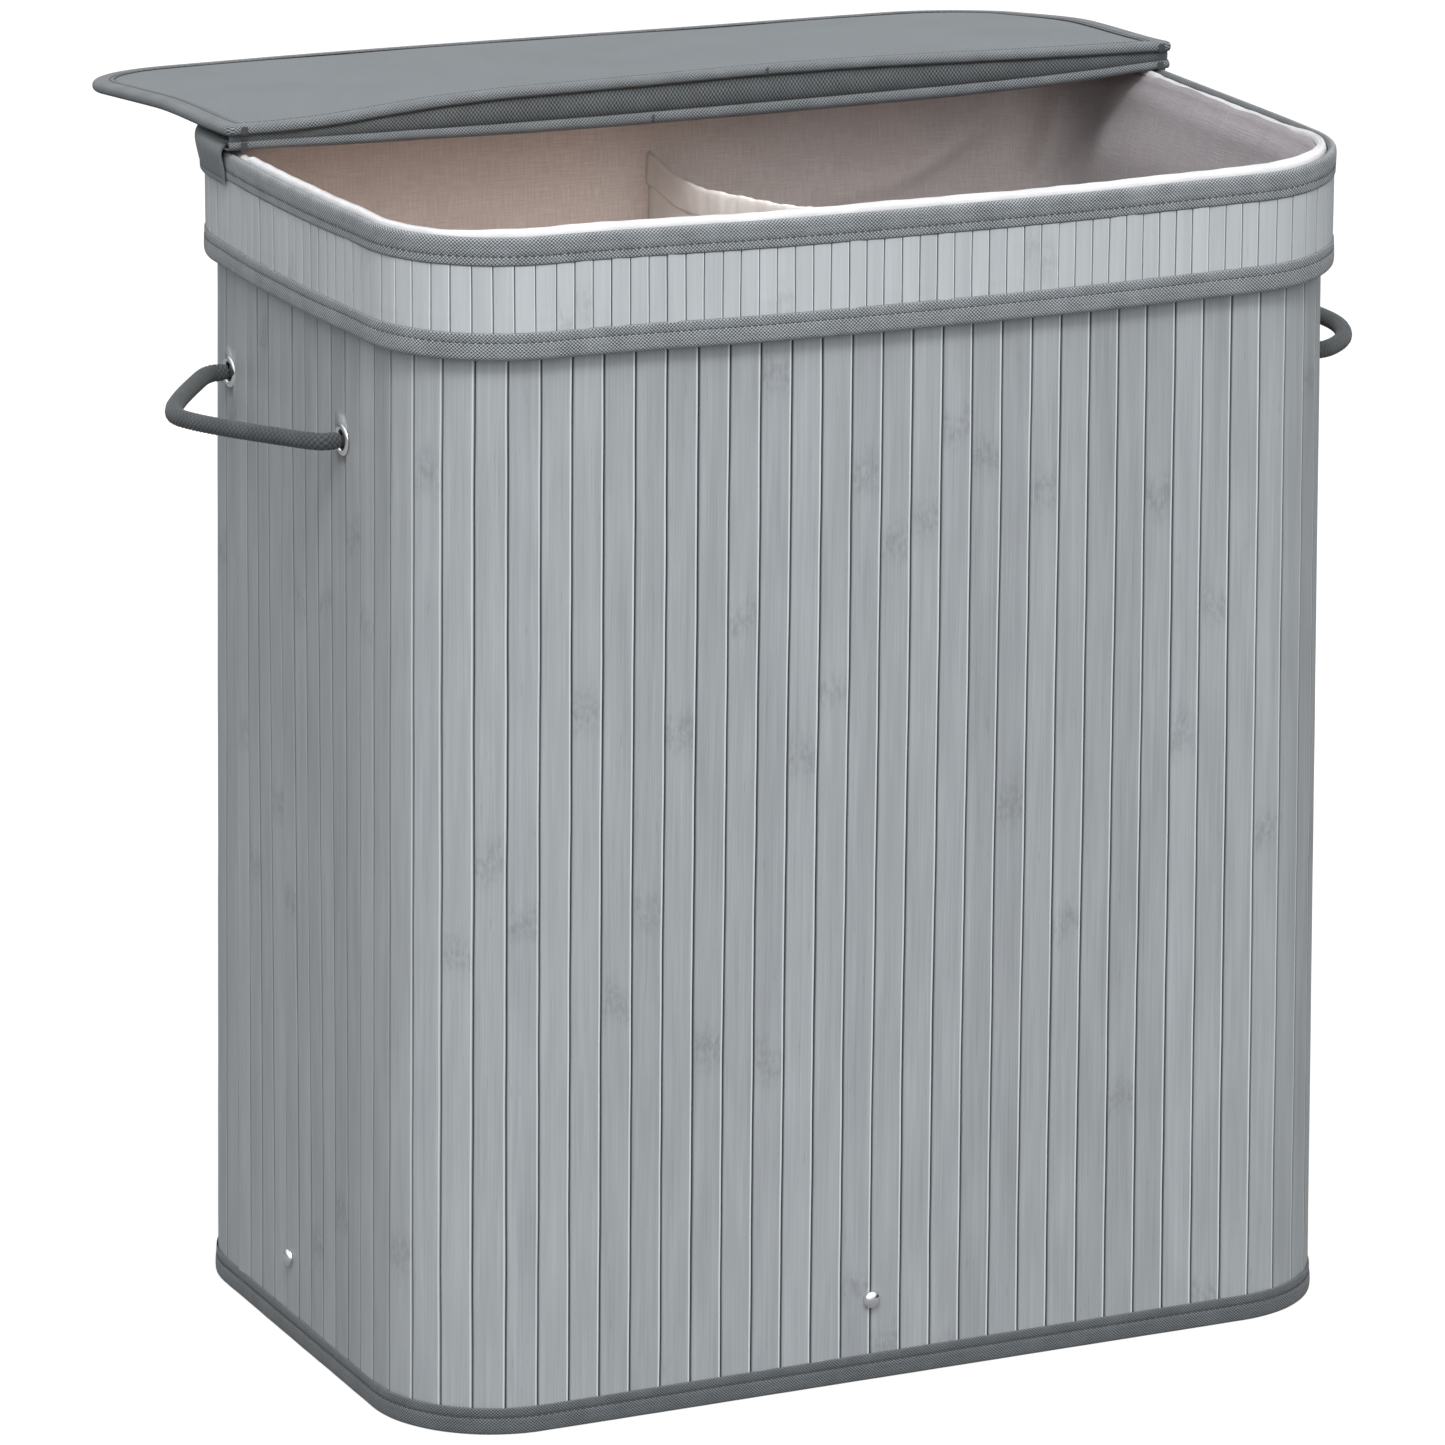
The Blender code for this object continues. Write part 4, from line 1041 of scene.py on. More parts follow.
def make_cuff():
    """The white cloth of the liner, folded over the wall's rim inside the lid's ring."""
    steps = 900
    share = np.arange(steps) / steps
    run = share * PERIMETER
    point, _ = plan(share)
    rear = smooth(-0.012, -0.003, point[:, 1])
    east = smooth(0.215, 0.250, point[:, 0]) * smooth(-0.19, -0.13, point[:, 1])
    waves = ((PERIMETER / 9, 0.4), (PERIMETER / 31, 0.35), (PERIMETER / 83, 0.25))
    uneven = (1 - 0.7 * rear) * 0.00035 * ripple(run, 71, waves)
    top = 0.6046 - 0.0019 * rear + uneven - 0.0026 * east * (1 - rear)
    inner = cuff_inner(share)
    dip = 0.0006 * ripple(run, 73, ((PERIMETER / 17, 0.5), (PERIMETER / 53, 0.5)))
    section = [
        (0.0012, None, 0.5662), (0.0018, None, 0.5662), (0.0019, None, 0.5800), (0.0019, -0.0060, None),
        (0.0019, -0.0030, None), (0.0012, -0.0010, None), (-0.0002, -0.0002, None), ("third", 0.0, None),
        ("half", -0.0002, None), ("most", -0.0009, None), ("inner", -0.0026, None), ("inner", -0.0056, None),
        ("liner", None, 0.5890), ("liner", None, 0.5697), ("behind", None, 0.5697), ("behind", None, 0.5890),
        ("under", -0.0060, None), ("under", -0.0036, None), ("half", -0.0026, None), (-0.0002, -0.0028, None),
        (0.0006, -0.0040, None), (0.0012, -0.0060, None), (0.0012, None, 0.5900),
    ]
    places = {
        "third": 0.35 * inner, "half": 0.6 * inner, "most": 0.85 * inner, "inner": inner,
        "under": inner + 0.0011,
    }
    points = []
    for offset, below, height in section:
        if height is None:
            z = top + below + (dip if offset in ("inner", "under") else 0)
        else:
            z = np.full(steps, height)
        if offset in ("liner", "behind"):
            at = liner_place(share, z) + (0.0018 if offset == "liner" else 0.0029)
        else:
            at = places[offset] if isinstance(offset, str) else np.full(steps, offset)
        points.append(wall_points(share, at, z))
    points = fine_across(np.array(points).transpose(1, 0, 2), 2)
    made = solid("rim_cuff", COTTON, points, (True, True))
    piece(made, "hamper", "cuff_cloth", "liner_cuff")


def fine_across(points, steps):
    """Smooths each row of a grid whose rows are closed loops."""
    before, after, later = (np.roll(points, k, axis=1) for k in (1, -1, -2))
    t = (np.arange(steps) / steps)[None, None, :, None]
    curve = curve_between(*(q[:, :, None] for q in (before, points, after, later)), t)
    return curve.reshape(points.shape[0], -1, 3)


def liner_folds(run, z):
    """How far the liner's wall stands inwards: slack waves, and folds about the rear right corner."""
    depth = smooth(0.602, 0.50, z)
    waves = ((PERIMETER / 9, 0.45), (PERIMETER / 17, 0.3), (PERIMETER / 31, 0.25))
    slack = 0.0016 * depth * (1 + ripple(run + 0.25 * (0.6 - z), 81, waves))
    slack = slack + 0.0012 * (1 + ripple(z + 0.3 * run, 82, ((0.19, 0.5), (0.083, 0.3), (0.041, 0.2))))
    for start, end, height, width in FOLDS:
        (s0, z0), (s1, z1) = start, end
        ax, az = s1 - s0, z1 - z0
        t = np.clip(((run - s0) * ax + (z - z0) * az) / (ax * ax + az * az), 0, 1)
        bend = 0.006 * np.sin(math.pi * t)
        long = math.hypot(ax, az)
        away = np.hypot(run - s0 - t * ax - bend * az / long, z - z0 - t * az + bend * ax / long)
        slack = slack + height * np.sin(math.pi * (0.12 + 0.76 * t)) * np.exp(-((away / width) ** 2))
    return slack


# The liner's fold lines: (distance round the wall, height) at both ends, how proud, and half how wide.
BACK_RIGHT = PERIMETER / 2 - WIDTH / 2 + RADIUS
FOLDS = (
    ((BACK_RIGHT - 0.030, 0.598), (BACK_RIGHT + 0.050, 0.540), 0.0050, 0.009),
    ((BACK_RIGHT + 0.010, 0.560), (BACK_RIGHT + 0.090, 0.535), 0.0030, 0.007),
    ((BACK_RIGHT - 0.060, 0.596), (BACK_RIGHT - 0.035, 0.520), 0.0045, 0.010),
    ((BACK_RIGHT + 0.075, 0.598), (BACK_RIGHT + 0.030, 0.556), 0.0028, 0.008),
    ((BACK_RIGHT - 0.110, 0.590), (BACK_RIGHT - 0.080, 0.500), 0.0030, 0.014),
    ((BACK_RIGHT + 0.160, 0.594), (BACK_RIGHT + 0.135, 0.520), 0.0024, 0.013),
    ((BACK_RIGHT + 0.330, 0.596), (BACK_RIGHT + 0.345, 0.500), 0.0026, 0.014),
    ((BACK_RIGHT + 0.420, 0.592), (BACK_RIGHT + 0.400, 0.520), 0.0022, 0.012),
)


def make_liner():
    """The liner's wall and floor."""
    steps, rows = 560, 72
    share = np.arange(steps) / steps
    z = np.concatenate([
        np.linspace(LINER_FLOOR + 0.0005, 0.46, 30, endpoint=False), np.linspace(0.46, LINER_TOP, rows - 30),
    ])
    run, height = np.meshgrid(share * PERIMETER, z)
    back = smooth(-0.012, -0.003, plan(share)[0][:, 1])[None]
    place = liner_place(share[None], height)
    offset = place - liner_folds(run, height) * smooth(0.6012, 0.588, height)
    waves = ((PERIMETER / 19, 0.5), (PERIMETER / 47, 0.5))
    lift = (0.0009 - 0.0016 * back) * smooth(0.590, LINER_TOP, height)
    lift = lift + smooth(0.596, LINER_TOP, height) * 0.0007 * ripple(run, 91, waves)
    points = wall_points(run / PERIMETER, offset, height + lift)
    shape = Shape()
    lay = np.stack(np.meshgrid(np.arange(steps + 1) / steps * PERIMETER, z), -1)
    shape.grid(points, lay, wrap=(False, True))
    made = shape.build("liner_bag", LINEN, shade=None)
    made = thicken(made, 0.0010, 1.0)
    piece(made, "hamper", "liner_cloth", "liner_wall")
    make_liner_floor()


def make_liner_floor():
    """The liner's floor, loose on the base board."""
    steps = 240
    share = np.arange(steps) / steps
    edge, normal = plan(share, np.full(steps, LINER_FLOOR))
    edge = edge - 0.0152 * normal
    rings = np.linspace(1, 0.04, 26)[:, None, None]
    xy = np.array([0, MIDDLE_Y]) + rings * (edge - [0, MIDDLE_Y])[None]
    bump = 0.0012 * (1 + ripple(xy[..., 0] + 0.4 * xy[..., 1], 95, ((0.11, 0.5), (0.047, 0.5))))
    z = LINER_FLOOR + 0.0003 + bump * smooth(1.0, 0.9, rings[..., 0])
    points = np.concatenate([xy, np.broadcast_to(z[..., None], (*xy.shape[:2], 1))], -1)
    shape = Shape()
    lay = np.concatenate([xy, xy[:, :1]], 1)
    shape.grid(points, lay, wrap=(False, True))
    shape.ends.append((25 * steps + np.arange(steps)).tolist())
    shape.end_lays.append(lay[25, :steps])
    made = thicken(shape.build("liner_bottom", LINEN, shade=None), 0.0009, 1.0)
    fix_normals(made)
    piece(made, "hamper", "liner_cloth", "liner_floor")


# The divider's top edge, from the front of the mouth to the rear: (y, height).
HEM_LINE = (
    (
        -0.216, -0.180, -0.140, -0.0988, -0.0812, -0.0576, -0.0337, -0.0096, 0.0148, 0.034, 0.050, 0.062,
        0.072, 0.082,
    ),
    (
        0.592, 0.586, 0.580, 0.5729, 0.5700, 0.5667, 0.5636, 0.5606, 0.5580, 0.5572, 0.5588, 0.5620, 0.5650,
        0.5672,
    ),
)


def divider_top(y):
    """The height of the divider's hem at y: it hangs in a bow between the rear wall and the front rim."""
    spread = np.linspace(-0.006, 0.006, 9)
    line = np.mean([np.interp(y + shift, *HEM_LINE) for shift in spread], axis=0)
    return line + 0.0004 * ripple(y, 36, ((0.031, 0.6), (0.012, 0.4)))


def make_divider():
    """The cloth across the middle of the liner, with a turned hem along its top edge."""
    y = MIDDLE_Y + np.linspace(-DIVIDER_REACH, DIVIDER_REACH, 90)
    down = np.concatenate([np.linspace(0, 0.06, 30, endpoint=False), np.linspace(0.06, 1, 26)])
    low = LINER_FLOOR + 0.0028
    top = divider_top(y)
    t = (y - MIDDLE_Y) / DIVIDER_REACH
    fall, across = np.meshgrid(down, t, indexing="ij")
    z = top[None] - fall * (top[None] - low)
    deep = top[None] - z
    free = 1 - across**6
    sway = 0.0050 * np.sin(2.6 * across + 0.4) * np.exp(-deep / 0.09) * free
    slack = 0.0030 * ripple(across * 0.15 + 0.5 * deep, 33, ((0.16, 0.6), (0.07, 0.4)))
    sway = sway + slack * free * smooth(0, 0.03, deep)
    points = np.stack([sway, np.broadcast_to(y[None], z.shape), z], -1)
    shape = Shape()
    lay = np.stack(np.broadcast_arrays(y[None], z), -1)
    shape.grid(points, lay)
    made = thicken(shape.build("divider_sheet", DIVIDER, shade=None), 0.0010, 0.0)
    piece(made, "hamper", "cuff_cloth", "liner_divider")
    make_hem(y, top, sway)


def make_hem(y, top, sway):
    """The turned hem: a soft double band along the divider's top edge."""
    t = (y - MIDDLE_Y) / DIVIDER_REACH
    section = fine([
        (-0.0013, -0.0150), (-0.0016, -0.0120), (-0.0017, -0.0060), (-0.0015, -0.0012), (-0.0008, 0.0004),
        (0.0, 0.0008), (0.0008, 0.0004), (0.0015, -0.0012), (0.0017, -0.0060), (0.0016, -0.0120),
        (0.0013, -0.0150), (0.0006, -0.0152), (0.0009, -0.0080), (0.0, -0.0010), (-0.0009, -0.0080),
        (-0.0006, -0.0152),
    ], 2)
    puff = 1 + 0.25 * ripple(y, 35, ((0.03, 0.5), (0.013, 0.5)))
    depth = -section[:, 1]
    twist = 0.0010 * np.sin(1.5 + 9 * t)[:, None] * (depth / 0.015)[None]
    x = sway[0][:, None] + section[None, :, 0] * puff[:, None] + twist
    z = top[:, None] + section[None, :, 1]
    points = np.stack([x, np.broadcast_to(y[:, None], x.shape), z], -1)
    made = solid("divider_hem", DIVIDER, points, turn=True)
    piece(made, "hamper", "cuff_cloth")


# ---------------------------------------------------------------- the lid's rear strip


# How far the open flap's hinge edge stands above a straight line at each x.
FLAP_ARCH = (
    (-0.262, -0.235, -0.205, -0.18, -0.15, -0.11, -0.07, -0.03, 0.03, 0.075, 0.115, 0.16, 0.215, 0.262),
    (
        -0.0046, -0.0050, -0.0040, -0.0018, 0.0004, 0.0018, 0.0018, 0.0020, 0.0024, 0.0018, 0.0008, -0.0008,
        -0.0024, -0.0034,
    ),
)


# How far the strip's front edge sags at each x, its ends being sewn to the ring.
STRIP_SAG = (
    (-0.262, -0.235, -0.2138, -0.16, -0.11, -0.05, 0.04, 0.134, 0.19, 0.225, 0.245, 0.262),
    (0.0002, 0.0008, 0.0017, 0.0031, 0.0045, 0.0054, 0.0058, 0.0056, 0.0046, 0.0028, 0.0012, 0.0002),
)


# How far the open flap's front edge droops at each x.
FLAP_DROOP = ((-0.265, -0.12, 0.08, 0.265), (0.0004, 0.0010, 0.0030, 0.0027))


def strip_sag(x, y):
    """How far the lid's rear strip sags below its ends, in metres."""
    return eased(x, STRIP_SAG, 0.012) * smooth(0.078, 0.0, y)


def rear_outline(inset, steps=96):
    """Columns of the strip's plan: x, its front y and its rear y."""
    half = HALF_LID - inset
    x = half * np.sin(np.linspace(-math.pi / 2, math.pi / 2, steps))
    radius = RADIUS + RING_OUTSET - inset
    rear = MIDDLE_Y + DEPTH / 2 + RING_OUTSET - inset
    into = np.maximum(np.abs(x) - (half - radius), 0)
    return x, rear - radius + np.sqrt(np.maximum(radius**2 - into**2, 0))


def slab(name, finish, inset, front, low, high, waves=0.0, seed=1):
    """A thin plate over the strip's plan, that sags with it."""
    x, rear = rear_outline(inset)
    depth = np.linspace(0, 1, 26)
    y = front + depth[:, None] * (rear - front)[None]
    x = np.broadcast_to(x, y.shape)
    z = low - strip_sag(x, y) + waves * ripple(x + 0.3 * y, seed)
    points = np.stack([x, y, z], -1)
    shape = Shape()
    shape.grid(points, np.stack([x, y], -1), flip=True)
    made = thicken(shape.build(name, finish, shade=50), high - low, 1.0)
    fix_normals(made)
    return made


def make_strip():
    """The lid's fixed rear strip: board, cover, bound front edge, and the cloth folded down over the ring."""
    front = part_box("rear_board")[0].y
    made = slab("strip_board", BOARD, 0.0012, front, STRIP_LOW + 0.0003, STRIP_LOW + 0.0019)
    piece(made, "lid", "fibreboard", "rear_board")
    cover_low = STRIP_LOW + 0.0021
    cover = slab("strip_cover", LID_CLOTH, 0.0006, front - 0.002, cover_low, cover_low + 0.0006)
    piece(cover, "lid", "lid_cloth", "rear_cover")
    make_hood()
    make_strip_edge()
    make_hinge_tape()


def make_hood():
    """The strip's cloth, folded down over the ring's top tape from one end round the back to the other."""
    shares = np.linspace(0, 1, 2001)
    point, _ = plan(shares)
    behind = shares[point[:, 1] > 0.0090]
    first, last = behind.min(), behind.max()
    share = np.linspace(first, last, 420)
    section = [
        (-0.0100, 0.6076), (-0.0030, 0.6079), (0.0030, 0.6080), (0.0072, 0.6074), (0.0098, 0.6058),
        (0.0108, 0.6030), (0.0106, 0.5995), (0.0097, 0.5950),
        (0.0089, 0.5915), (0.0084, 0.5902), (0.0086, 0.5892), (0.0085, 0.5872), (0.0080, 0.5868),
        (0.0076, 0.5873), (0.0076, 0.5900),
        (0.0080, 0.5950), (0.0090, 0.5995), (0.0094, 0.6030), (0.0086, 0.6050), (0.0068, 0.6064),
        (0.0030, 0.6071), (-0.0030, 0.6071), (-0.0100, 0.6070),
    ]
    section = fine(section, 2)
    run = share * PERIMETER
    wave = 0.00045 * ripple(run, 41, ((0.21, 0.4), (0.09, 0.35), (0.038, 0.25)))
    outward = smooth(-0.002, 0.010, section[:, 0]) * smooth(0.5872, 0.600, section[:, 1])
    offset = section[None, :, 0] + wave[:, None] * outward[None]
    z = np.broadcast_to(section[None, :, 1], offset.shape)
    points = wall_points(share[:, None], offset, z, False)
    made = solid("rear_hood", LID_CLOTH, points, turn=True, shade=60)
    piece(made, "lid", "lid_cloth", "rear_skirt")
    length = (last - first) * PERIMETER
    count = round(length / LID_PITCH)
    at = first + (last - first) * (np.arange(count) + 0.5) / count
    wall_stitches("hood_stitches", "lid", at, 0.0002, 0.0084, 0.5899, False, "lid_cloth")


def edge_low(x):
    """The underside of the strip's bound front edge."""
    return STRIP_LOW - strip_sag(x, 0.0 * x) + 0.0002


def edge_high(x):
    """The top of the strip's bound front edge: it rolls forward a little where the strip sags."""
    return STRIP_LOW + 0.0050 - 0.62 * strip_sag(x, 0.0 * x)


def flap_low_line(x):
    """The lower edge of the open flap's bound rear edge, seen from the front."""
    return 2 * HINGE_Z - FLAP_LOW - FLAP_THICKNESS + flap_bow(x, 0.0 * x)


def make_strip_edge():
    """The tape rolled over the strip's front edge."""
    half = FLAP_HALF - 0.0016
    x = np.linspace(-half, half, 300)
    low, high = edge_low(x), edge_high(x)
    middle, size = (low + high) / 2, (high - low) / 2
    wave = 0.0002 * ripple(x, 43, ((0.1, 0.5), (0.04, 0.5)))
    angle = np.radians(np.linspace(-100, -260, 18))
    # Front half of a roll, then back under the cover.
    roll = [(0.0036 * math.cos(a) + 0.0042, math.sin(a)) for a in angle]
    loop = [
        *roll, (0.0110, 1.0), (0.0110, 0.78), (0.0045, 0.78), (0.0026, 0.4), (0.0022, 0.0), (0.0026, -0.4),
        (0.0045, -0.78), (0.0110, -0.78), (0.0110, -1.0),
    ]
    loop = np.array(loop)
    y = 0.0006 + loop[None, :, 0] + wave[:, None]
    z = middle[:, None] + size[:, None] * loop[None, :, 1]
    points = np.stack([np.broadcast_to(x[:, None], y.shape), y, z], -1)
    # fold holds painted shade at the top and bottom of the roll, where it meets the other cloths.
    fold = np.clip(smooth(0.72, 0.98, loop[:, 1]) + 0.8 * smooth(-0.80, -1.0, loop[:, 1]), 0, 1)
    made = solid("strip_edge_tape", EDGE_TAPE, points, turn=True, fold=fold)
    piece(made, "lid", "edge_tape", "rear_strip_binding")


def make_hinge_tape():
    """The tape that joins the strip to the flap. It bends between the two."""
    half = FLAP_HALF - 0.0022
    x = np.linspace(-half, half, 260)
    low, high = edge_high(x) - 0.0012, flap_low_line(x) + 0.0016
    t = np.linspace(0, 1, 22)
    z = low[:, None] + (high - low)[:, None] * t[None]
    tall = (high - low)[:, None]
    bulge = np.minimum(0.16 * tall, 0.0020) * np.sin(math.pi * t)[None] ** 0.8
    fold = 0.0004 * ripple(x, 45, ((0.07, 0.5), (0.031, 0.5)))[:, None] * np.sin(math.pi * t)[None]
    y = 0.0046 - bulge + fold
    points = np.stack([np.broadcast_to(x[:, None], z.shape), y, z], -1)
    shape = Shape()
    # fold now holds painted shade along the tape's top and bottom edges, beside the strip and the flap.
    fold = np.exp(-((t / 0.16) ** 2)) + np.exp(-(((1 - t) / 0.20) ** 2))
    shape.grid(points, lay_of(points), fold=np.clip(fold, 0, 1))
    made = thicken(shape.build("hinge_strip", DARK_TAPE, shade=None), 0.0009, 1.0)
    fix_normals(made)
    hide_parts("hinge_tape")
    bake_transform(made)


# ---------------------------------------------------------------- the flap


def flap_bow(x, y):
    """How far the open flap stands above its flat place; y is its place when closed.

    Its hinge edge arches up between its sewn ends, and its front edge droops a little."""
    arch = eased(x, FLAP_ARCH, 0.008) * (1 - smooth(0.0, 0.105, -y))
    droop = -0.0012 - 0.004 * x + 0.0017 * (1 - (x / HALF_LID) ** 2) - eased(x, FLAP_DROOP, 0.03)
    return arch + droop * smooth(0.085, 0.235, -y)


def flap_turn(points):
    """Turns closed points back about the hinge to where the open flap stands."""
    y, z = points[..., 1], points[..., 2] - HINGE_Z
    c, s = math.cos(-FLAP_OPEN), math.sin(-FLAP_OPEN)
    return np.stack([points[..., 0], y * c - z * s, HINGE_Z + y * s + z * c], -1)


def flap_sheet(name, finish, inset, low, high, seed, waves=0.0):
    """A plate over the flap's plan, with its bow, turned open."""
    half = FLAP_HALF - inset
    x = half * np.sin(np.linspace(-math.pi / 2, math.pi / 2, 120))
    radius = FLAP_CORNER - inset
    into = np.maximum(np.abs(x) - (half - radius), 0)
    front = -FLAP_REACH + inset + radius - np.sqrt(np.maximum(radius**2 - into**2, 0))
    depth = np.linspace(0, 1, 56)
    y = front[None] + depth[:, None] * (-0.0005 - inset - front)[None]
    x = np.broadcast_to(x, y.shape)
    z = low - flap_bow(x, y) + waves * ripple(x + 0.5 * y, seed, ((0.23, 0.5), (0.11, 0.5)))
    points = flap_turn(np.stack([x, y, z], -1))
    shape = Shape()
    shape.grid(points, np.stack([x, y], -1))
    made = thicken(shape.build(name, finish, shade=50), high - low, -1.0)
    fix_normals(made)
    return made


def flap_outline(inset):
    """The flap's plan as a closed loop, with the same number of points whatever the inset."""
    half, rear, front = FLAP_HALF - inset, -0.0005 - inset, -FLAP_REACH + inset
    small, large = max(0.004 - inset, 0.0003), max(FLAP_CORNER - inset, 0.0003)
    loop = []
    corners = (
        (half - small, rear - small, small, 0), (-half + small, rear - small, small, 90),
        (-half + large, front + large, large, 180), (half - large, front + large, large, 270),
    )
    for number, (x, y, radius, first) in enumerate(corners):
        loop += arc((x, y), radius, first, first + 90, 14 if radius < 0.01 and number < 2 else 30)
        after = corners[(number + 1) % 4]
        end = math.radians(first + 90)
        here = np.array([x + radius * math.cos(end), y + radius * math.sin(end)])
        there = np.array([after[0] + after[2] * math.cos(end), after[1] + after[2] * math.sin(end)])
        count = 130 if number in (0, 2) else 44
        loop += [tuple(here + (there - here) * k / count) for k in range(1, count)]
    return np.array(loop)


def make_flap():
    """The flap: its board between two cloths, bound with tape all round."""
    core = flap_sheet("flap_core", BOARD, 0.0016, FLAP_LOW + 0.0013, FLAP_LOW + 0.0043, 1)
    piece(core, "flap", "fibreboard", "flap_board")
    lining = flap_sheet(
        "flap_inner_cloth", LID_CLOTH, 0.0014, FLAP_LOW + 0.0006, FLAP_LOW + 0.0011, 2, 0.0002
    )
    piece(lining, "flap", "lid_cloth", "flap_lining")
    outer = flap_sheet("flap_outer_cloth", LID_CLOTH, 0.0014, FLAP_LOW + 0.0045, FLAP_LOW + 0.0050, 3, 0.0002)
    piece(outer, "flap", "lid_cloth", "flap_cover")
    section = [
        (0.0113, 0.00050), (0.0112, 0.00015), (0.0098, 0.00006), (0.0091, 0.00028), (0.0085, 0.00028),
        (0.0078, 0.00002), (0.0050, -0.00010), (0.0022, 0.0), (0.0008, 0.0006), (0.0, 0.0016),
        (-0.0002, 0.0028),
        (0.0, 0.0040), (0.0008, 0.0050), (0.0022, 0.0056), (0.0050, 0.0057), (0.0078, 0.0056),
        (0.0085, 0.0053), (0.0091, 0.0053), (0.0098, 0.0056), (0.0112, 0.0055), (0.0113, 0.0051),
        (0.0060, 0.0051), (0.0018, 0.0048), (0.0011, 0.0040), (0.0010, 0.0028), (0.0011, 0.0016),
        (0.0018, 0.0008), (0.0060, 0.0005),
    ]
    section = fine(section, 2)
    rows = []
    for inset, height in section:
        xy = flap_outline(inset)
        z = FLAP_LOW + height - flap_bow(xy[:, 0], xy[:, 1])
        rows.append(np.concatenate([xy, z[:, None]], 1))
    points = flap_turn(np.array(rows).transpose(1, 0, 2))
    inset = section[:, 0]
    # fold holds painted shade at the tape's inner edge, along the line of the seam, and on the outer face
    # near the flap's edge.
    fold = smooth(0.0104, 0.0113, inset) + 0.75 * np.exp(-(((inset - FLAP_SEAM) / 0.0004) ** 2))
    fold = fold + 0.9 * smooth(0.0034, 0.0052, section[:, 1]) * smooth(0.0040, 0.0008, inset)
    fold = np.clip(fold, 0, 1)
    made = solid("flap_edge_tape", EDGE_TAPE, points, (True, True), turn=True, fold=fold)
    piece(made, "flap", "edge_tape", "flap_binding")
    make_flap_stitches()
    make_tacks()


def make_tacks():
    """The bar tacks at the hinge's two ends, and the seams where each tape's ends meet."""
    down = np.array([0.0, 0.0, 1.0])
    front = np.array([0.0, -1.0, 0.0])
    strip, flap = [], []
    for x in (-0.2545, 0.2565):
        for k in range(7):
            here = x + 0.0005 * (k - 3)
            low, high = edge_low(np.array([here]))[0], edge_high(np.array([here]))[0]
            strip.append((np.array([here, 0.0009, (low + high) / 2]), down, front))
            edge = flap_low_line(np.array([here]))[0]
            flap.append((np.array([here, -0.0002, edge + 0.0026]), down, front))
    for x, places in ((-0.033, strip), (0.030, flap)):
        low, high = edge_low(np.array([x]))[0], edge_high(np.array([x]))[0]
        height = (low + high) / 2 if places is strip else flap_low_line(np.array([x]))[0] + 0.0026
        for k in range(3):
            y = 0.0009 if places is strip else -0.0002
            places.append((np.array([x + 0.0005 * k, y, height]), down, front))
    stitches("strip_tacks", "lid", strip, length=0.0044, radius=0.00028)
    stitches("flap_tacks", "flap", flap, length=0.0046, radius=0.00028)


def make_flap_stitches():
    """The line of stitches inside the flap's edge, on both faces."""
    loop = flap_outline(FLAP_SEAM)
    gaps = np.linalg.norm(np.diff(loop, axis=0, append=loop[:1]), axis=1)
    run = np.concatenate([[0], np.cumsum(gaps)])
    count = round(run[-1] / LID_PITCH)
    closed = np.concatenate([loop, loop[:1]])
    at = (np.arange(count) + 0.5) / count * run[-1]
    for name, height, sign in (("flap_inner_stitches", 0.0002, -1), ("flap_outer_stitches", 0.0054, 1)):
        places = []
        for here in at:
            point = [np.interp([here, here + 0.0005], run, closed[:, k], period=run[-1]) for k in (0, 1)]
            xy = np.array(point).T
            z = FLAP_LOW + height - flap_bow(xy[:, 0], xy[:, 1])
            ends = flap_turn(np.concatenate([xy, z[:, None]], 1))
            up = flap_turn(np.array([[0, 0, HINGE_Z + sign]]))[0] - [0, 0, HINGE_Z]
            along = ends[1] - ends[0]
            places.append((ends[0], along / np.linalg.norm(along), up))
        stitches(name, "flap", places)


# ---------------------------------------------------------------- stage, light and camera


def lamp(name, size, power, target, back):
    """A soft lamp that stands away from its target by back and points at it."""
    light = bpy.data.lights.new(name, "AREA")
    light.shape = "RECTANGLE"
    light.size, light.size_y = size
    light.energy = power
    made = bpy.data.objects.new(name, light)
    bpy.context.scene.collection.objects.link(made)
    made.location = Vector(target) + Vector(back)
    made.rotation_mode = "QUATERNION"
    made.rotation_quaternion = (-Vector(back)).to_track_quat("-Z", "Y")


def make_floor():
    """A pale floor: white as the camera meets it, and a mild grey as it lights the object."""
    f = Finish("studio_floor", 0.9)
    f.colour(f.mix(f.noise(f.place(), 3.0), (0.20, 0.20, 0.20), (0.22, 0.22, 0.22)))
    glow = f.node("Emission", {"Color": (1, 1, 1), "Strength": 0.78}).outputs[0]
    soft = f.node("BsdfDiffuse", {"Color": (0.22, 0.22, 0.22)}).outputs[0]
    bright = f.node("AddShader", {0: glow, 1: soft}).outputs[0]
    seen = f.node("LightPath", {}).outputs["Is Camera Ray"]
    mixed = f.node("MixShader", {0: seen, 1: f.shader.outputs[0], 2: bright}).outputs[0]
    f.feed(f.tree.nodes["Material Output"].inputs["Surface"], mixed)
    shape = Shape()
    half = 14.0
    points = np.array([[(x, y, -0.0002) for x in (-half, half)] for y in (-half, half)])
    shape.grid(points, lay_of(points), flip=True)
    shape.build("floor", f.material, shade=None)


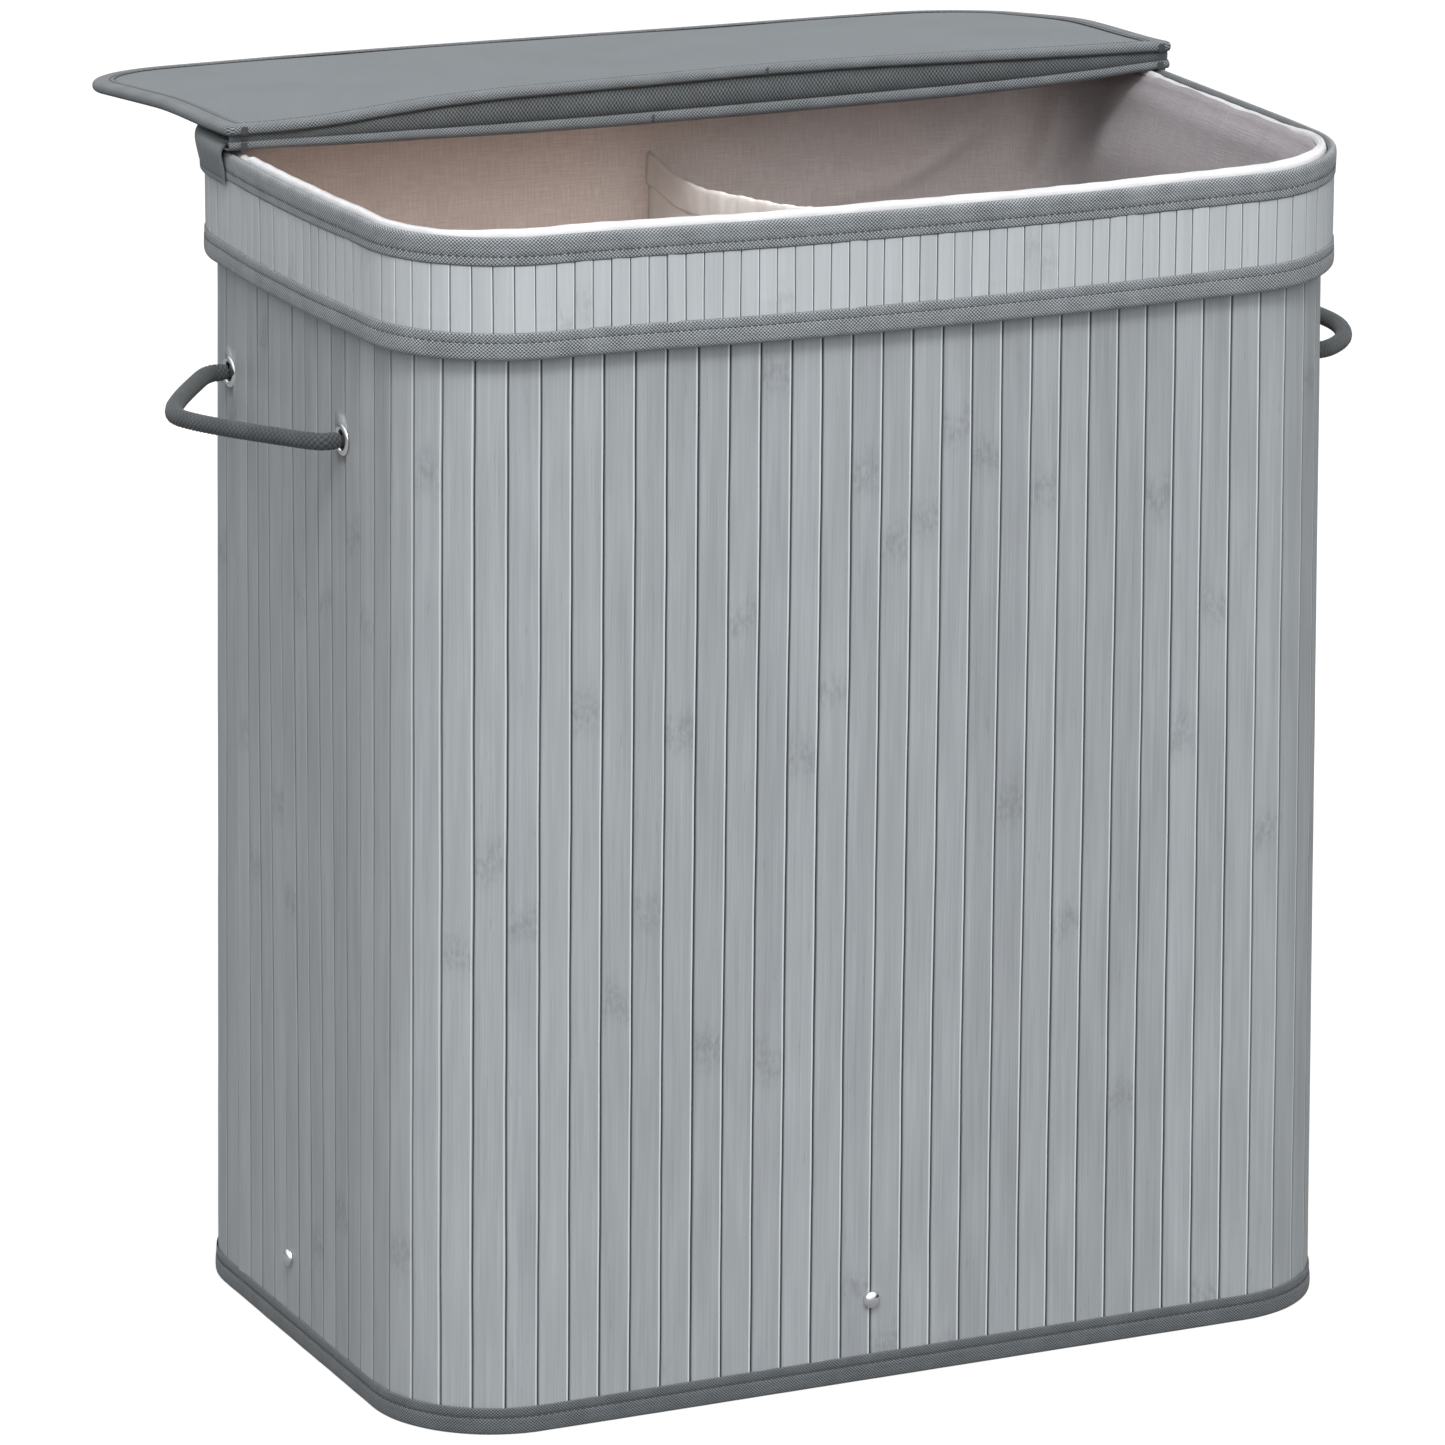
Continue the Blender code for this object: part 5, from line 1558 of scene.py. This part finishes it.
def make_world():
    """Soft studio surroundings: brightest overhead and in front, dimmer on both sides, dark below."""
    world = bpy.data.worlds.new("studio")
    world.use_nodes = True
    tree = world.node_tree
    way = tree.nodes.new("ShaderNodeTexCoord").outputs["Generated"]
    levels = []
    for direction, low, high, to_low, to_high in WORLD_GLOW:
        dot = tree.nodes.new("ShaderNodeVectorMath")
        dot.operation = "DOT_PRODUCT"
        dot.inputs[1].default_value = direction
        tree.links.new(way, dot.inputs[0])
        span = tree.nodes.new("ShaderNodeMapRange")
        span.interpolation_type = "SMOOTHSTEP"
        for key, value in zip(("From Min", "From Max", "To Min", "To Max"), (low, high, to_low, to_high)):
            span.inputs[key].default_value = value
        tree.links.new(dot.outputs["Value"], span.inputs["Value"])
        levels.append(span.outputs[0])
    total = levels[0]
    for level in levels[1:]:
        add = tree.nodes.new("ShaderNodeMath")
        tree.links.new(total, add.inputs[0])
        tree.links.new(level, add.inputs[1])
        total = add.outputs[0]
    dim = tree.nodes.new("ShaderNodeMath")
    dim.operation = "MAXIMUM"
    tree.links.new(total, dim.inputs[0])
    dim.inputs[1].default_value = 0.02
    tree.links.new(dim.outputs[0], tree.nodes["Background"].inputs["Strength"])
    tree.nodes["Background"].inputs["Color"].default_value = (1, 1, 1, 1)
    bpy.context.scene.world = world


# Each glow of the surroundings: its direction, the cosines between which it grows, and its strength at both.
WORLD_GLOW = (
    ((0.0, 0.0, 1.0), -0.05, 0.9, 0.12, 1.14),
    ((-0.06, -0.62, 0.78), 0.3, 1.0, 0.0, 1.42),
    ((-0.75, -0.1, 0.65), 0.2, 1.0, 0.0, 0.14),
    ((0.65, -0.35, 0.67), 0.3, 1.0, 0.0, -0.34),
)


def make_stage():
    """The floor, the surroundings and one soft lamp from the front, a little to the left."""
    make_floor()
    make_world()
    lamp("key", (0.9, 0.9), 72, (0, MIDDLE_Y, 0.35), (-0.70, -2.0, 2.95))
    bpy.context.scene.view_settings.view_transform = "Standard"


def make_camera():
    """A long lens, a little above the rim and to the left of the front."""
    azimuth, elevation, roll = math.radians(-24.7885), math.radians(15.9101), math.radians(0.2706)
    distance, target = 4.25855, Vector((-0.01118, MIDDLE_Y + 0.02719, 0.29202))
    level = math.cos(elevation)
    back = Vector((math.sin(azimuth) * level, -math.cos(azimuth) * level, math.sin(elevation)))
    right = (-back).cross(Vector((0, 0, 1))).normalized()
    up = right.cross(-back)
    turned = right * math.cos(roll) + up * math.sin(roll)
    lens = bpy.data.cameras.new("camera")
    lens.lens = 206.98
    lens.sensor_width = 36.0
    camera = bpy.data.objects.new("camera", lens)
    bpy.context.scene.collection.objects.link(camera)
    axes = Matrix((turned, -right * math.sin(roll) + up * math.cos(roll), back)).transposed()
    camera.matrix_world = Matrix.Translation(target + back * distance) @ axes.to_4x4()
    bpy.context.scene.camera = camera


def finish_frame_nodes():
    """The board's material for the base board, the one CAD node that stays in sight."""
    materials = frame["nodes"]["base_board"].data.materials
    materials.clear()
    materials.append(BOARD)


def main():
    make_camera()
    make_handles()
    make_slats()
    make_ring_slats()
    make_tapes()
    make_backings()
    make_base()
    make_cuff()
    make_liner()
    make_divider()
    make_strip()
    make_flap()
    finish_frame_nodes()
    make_stage()


main()
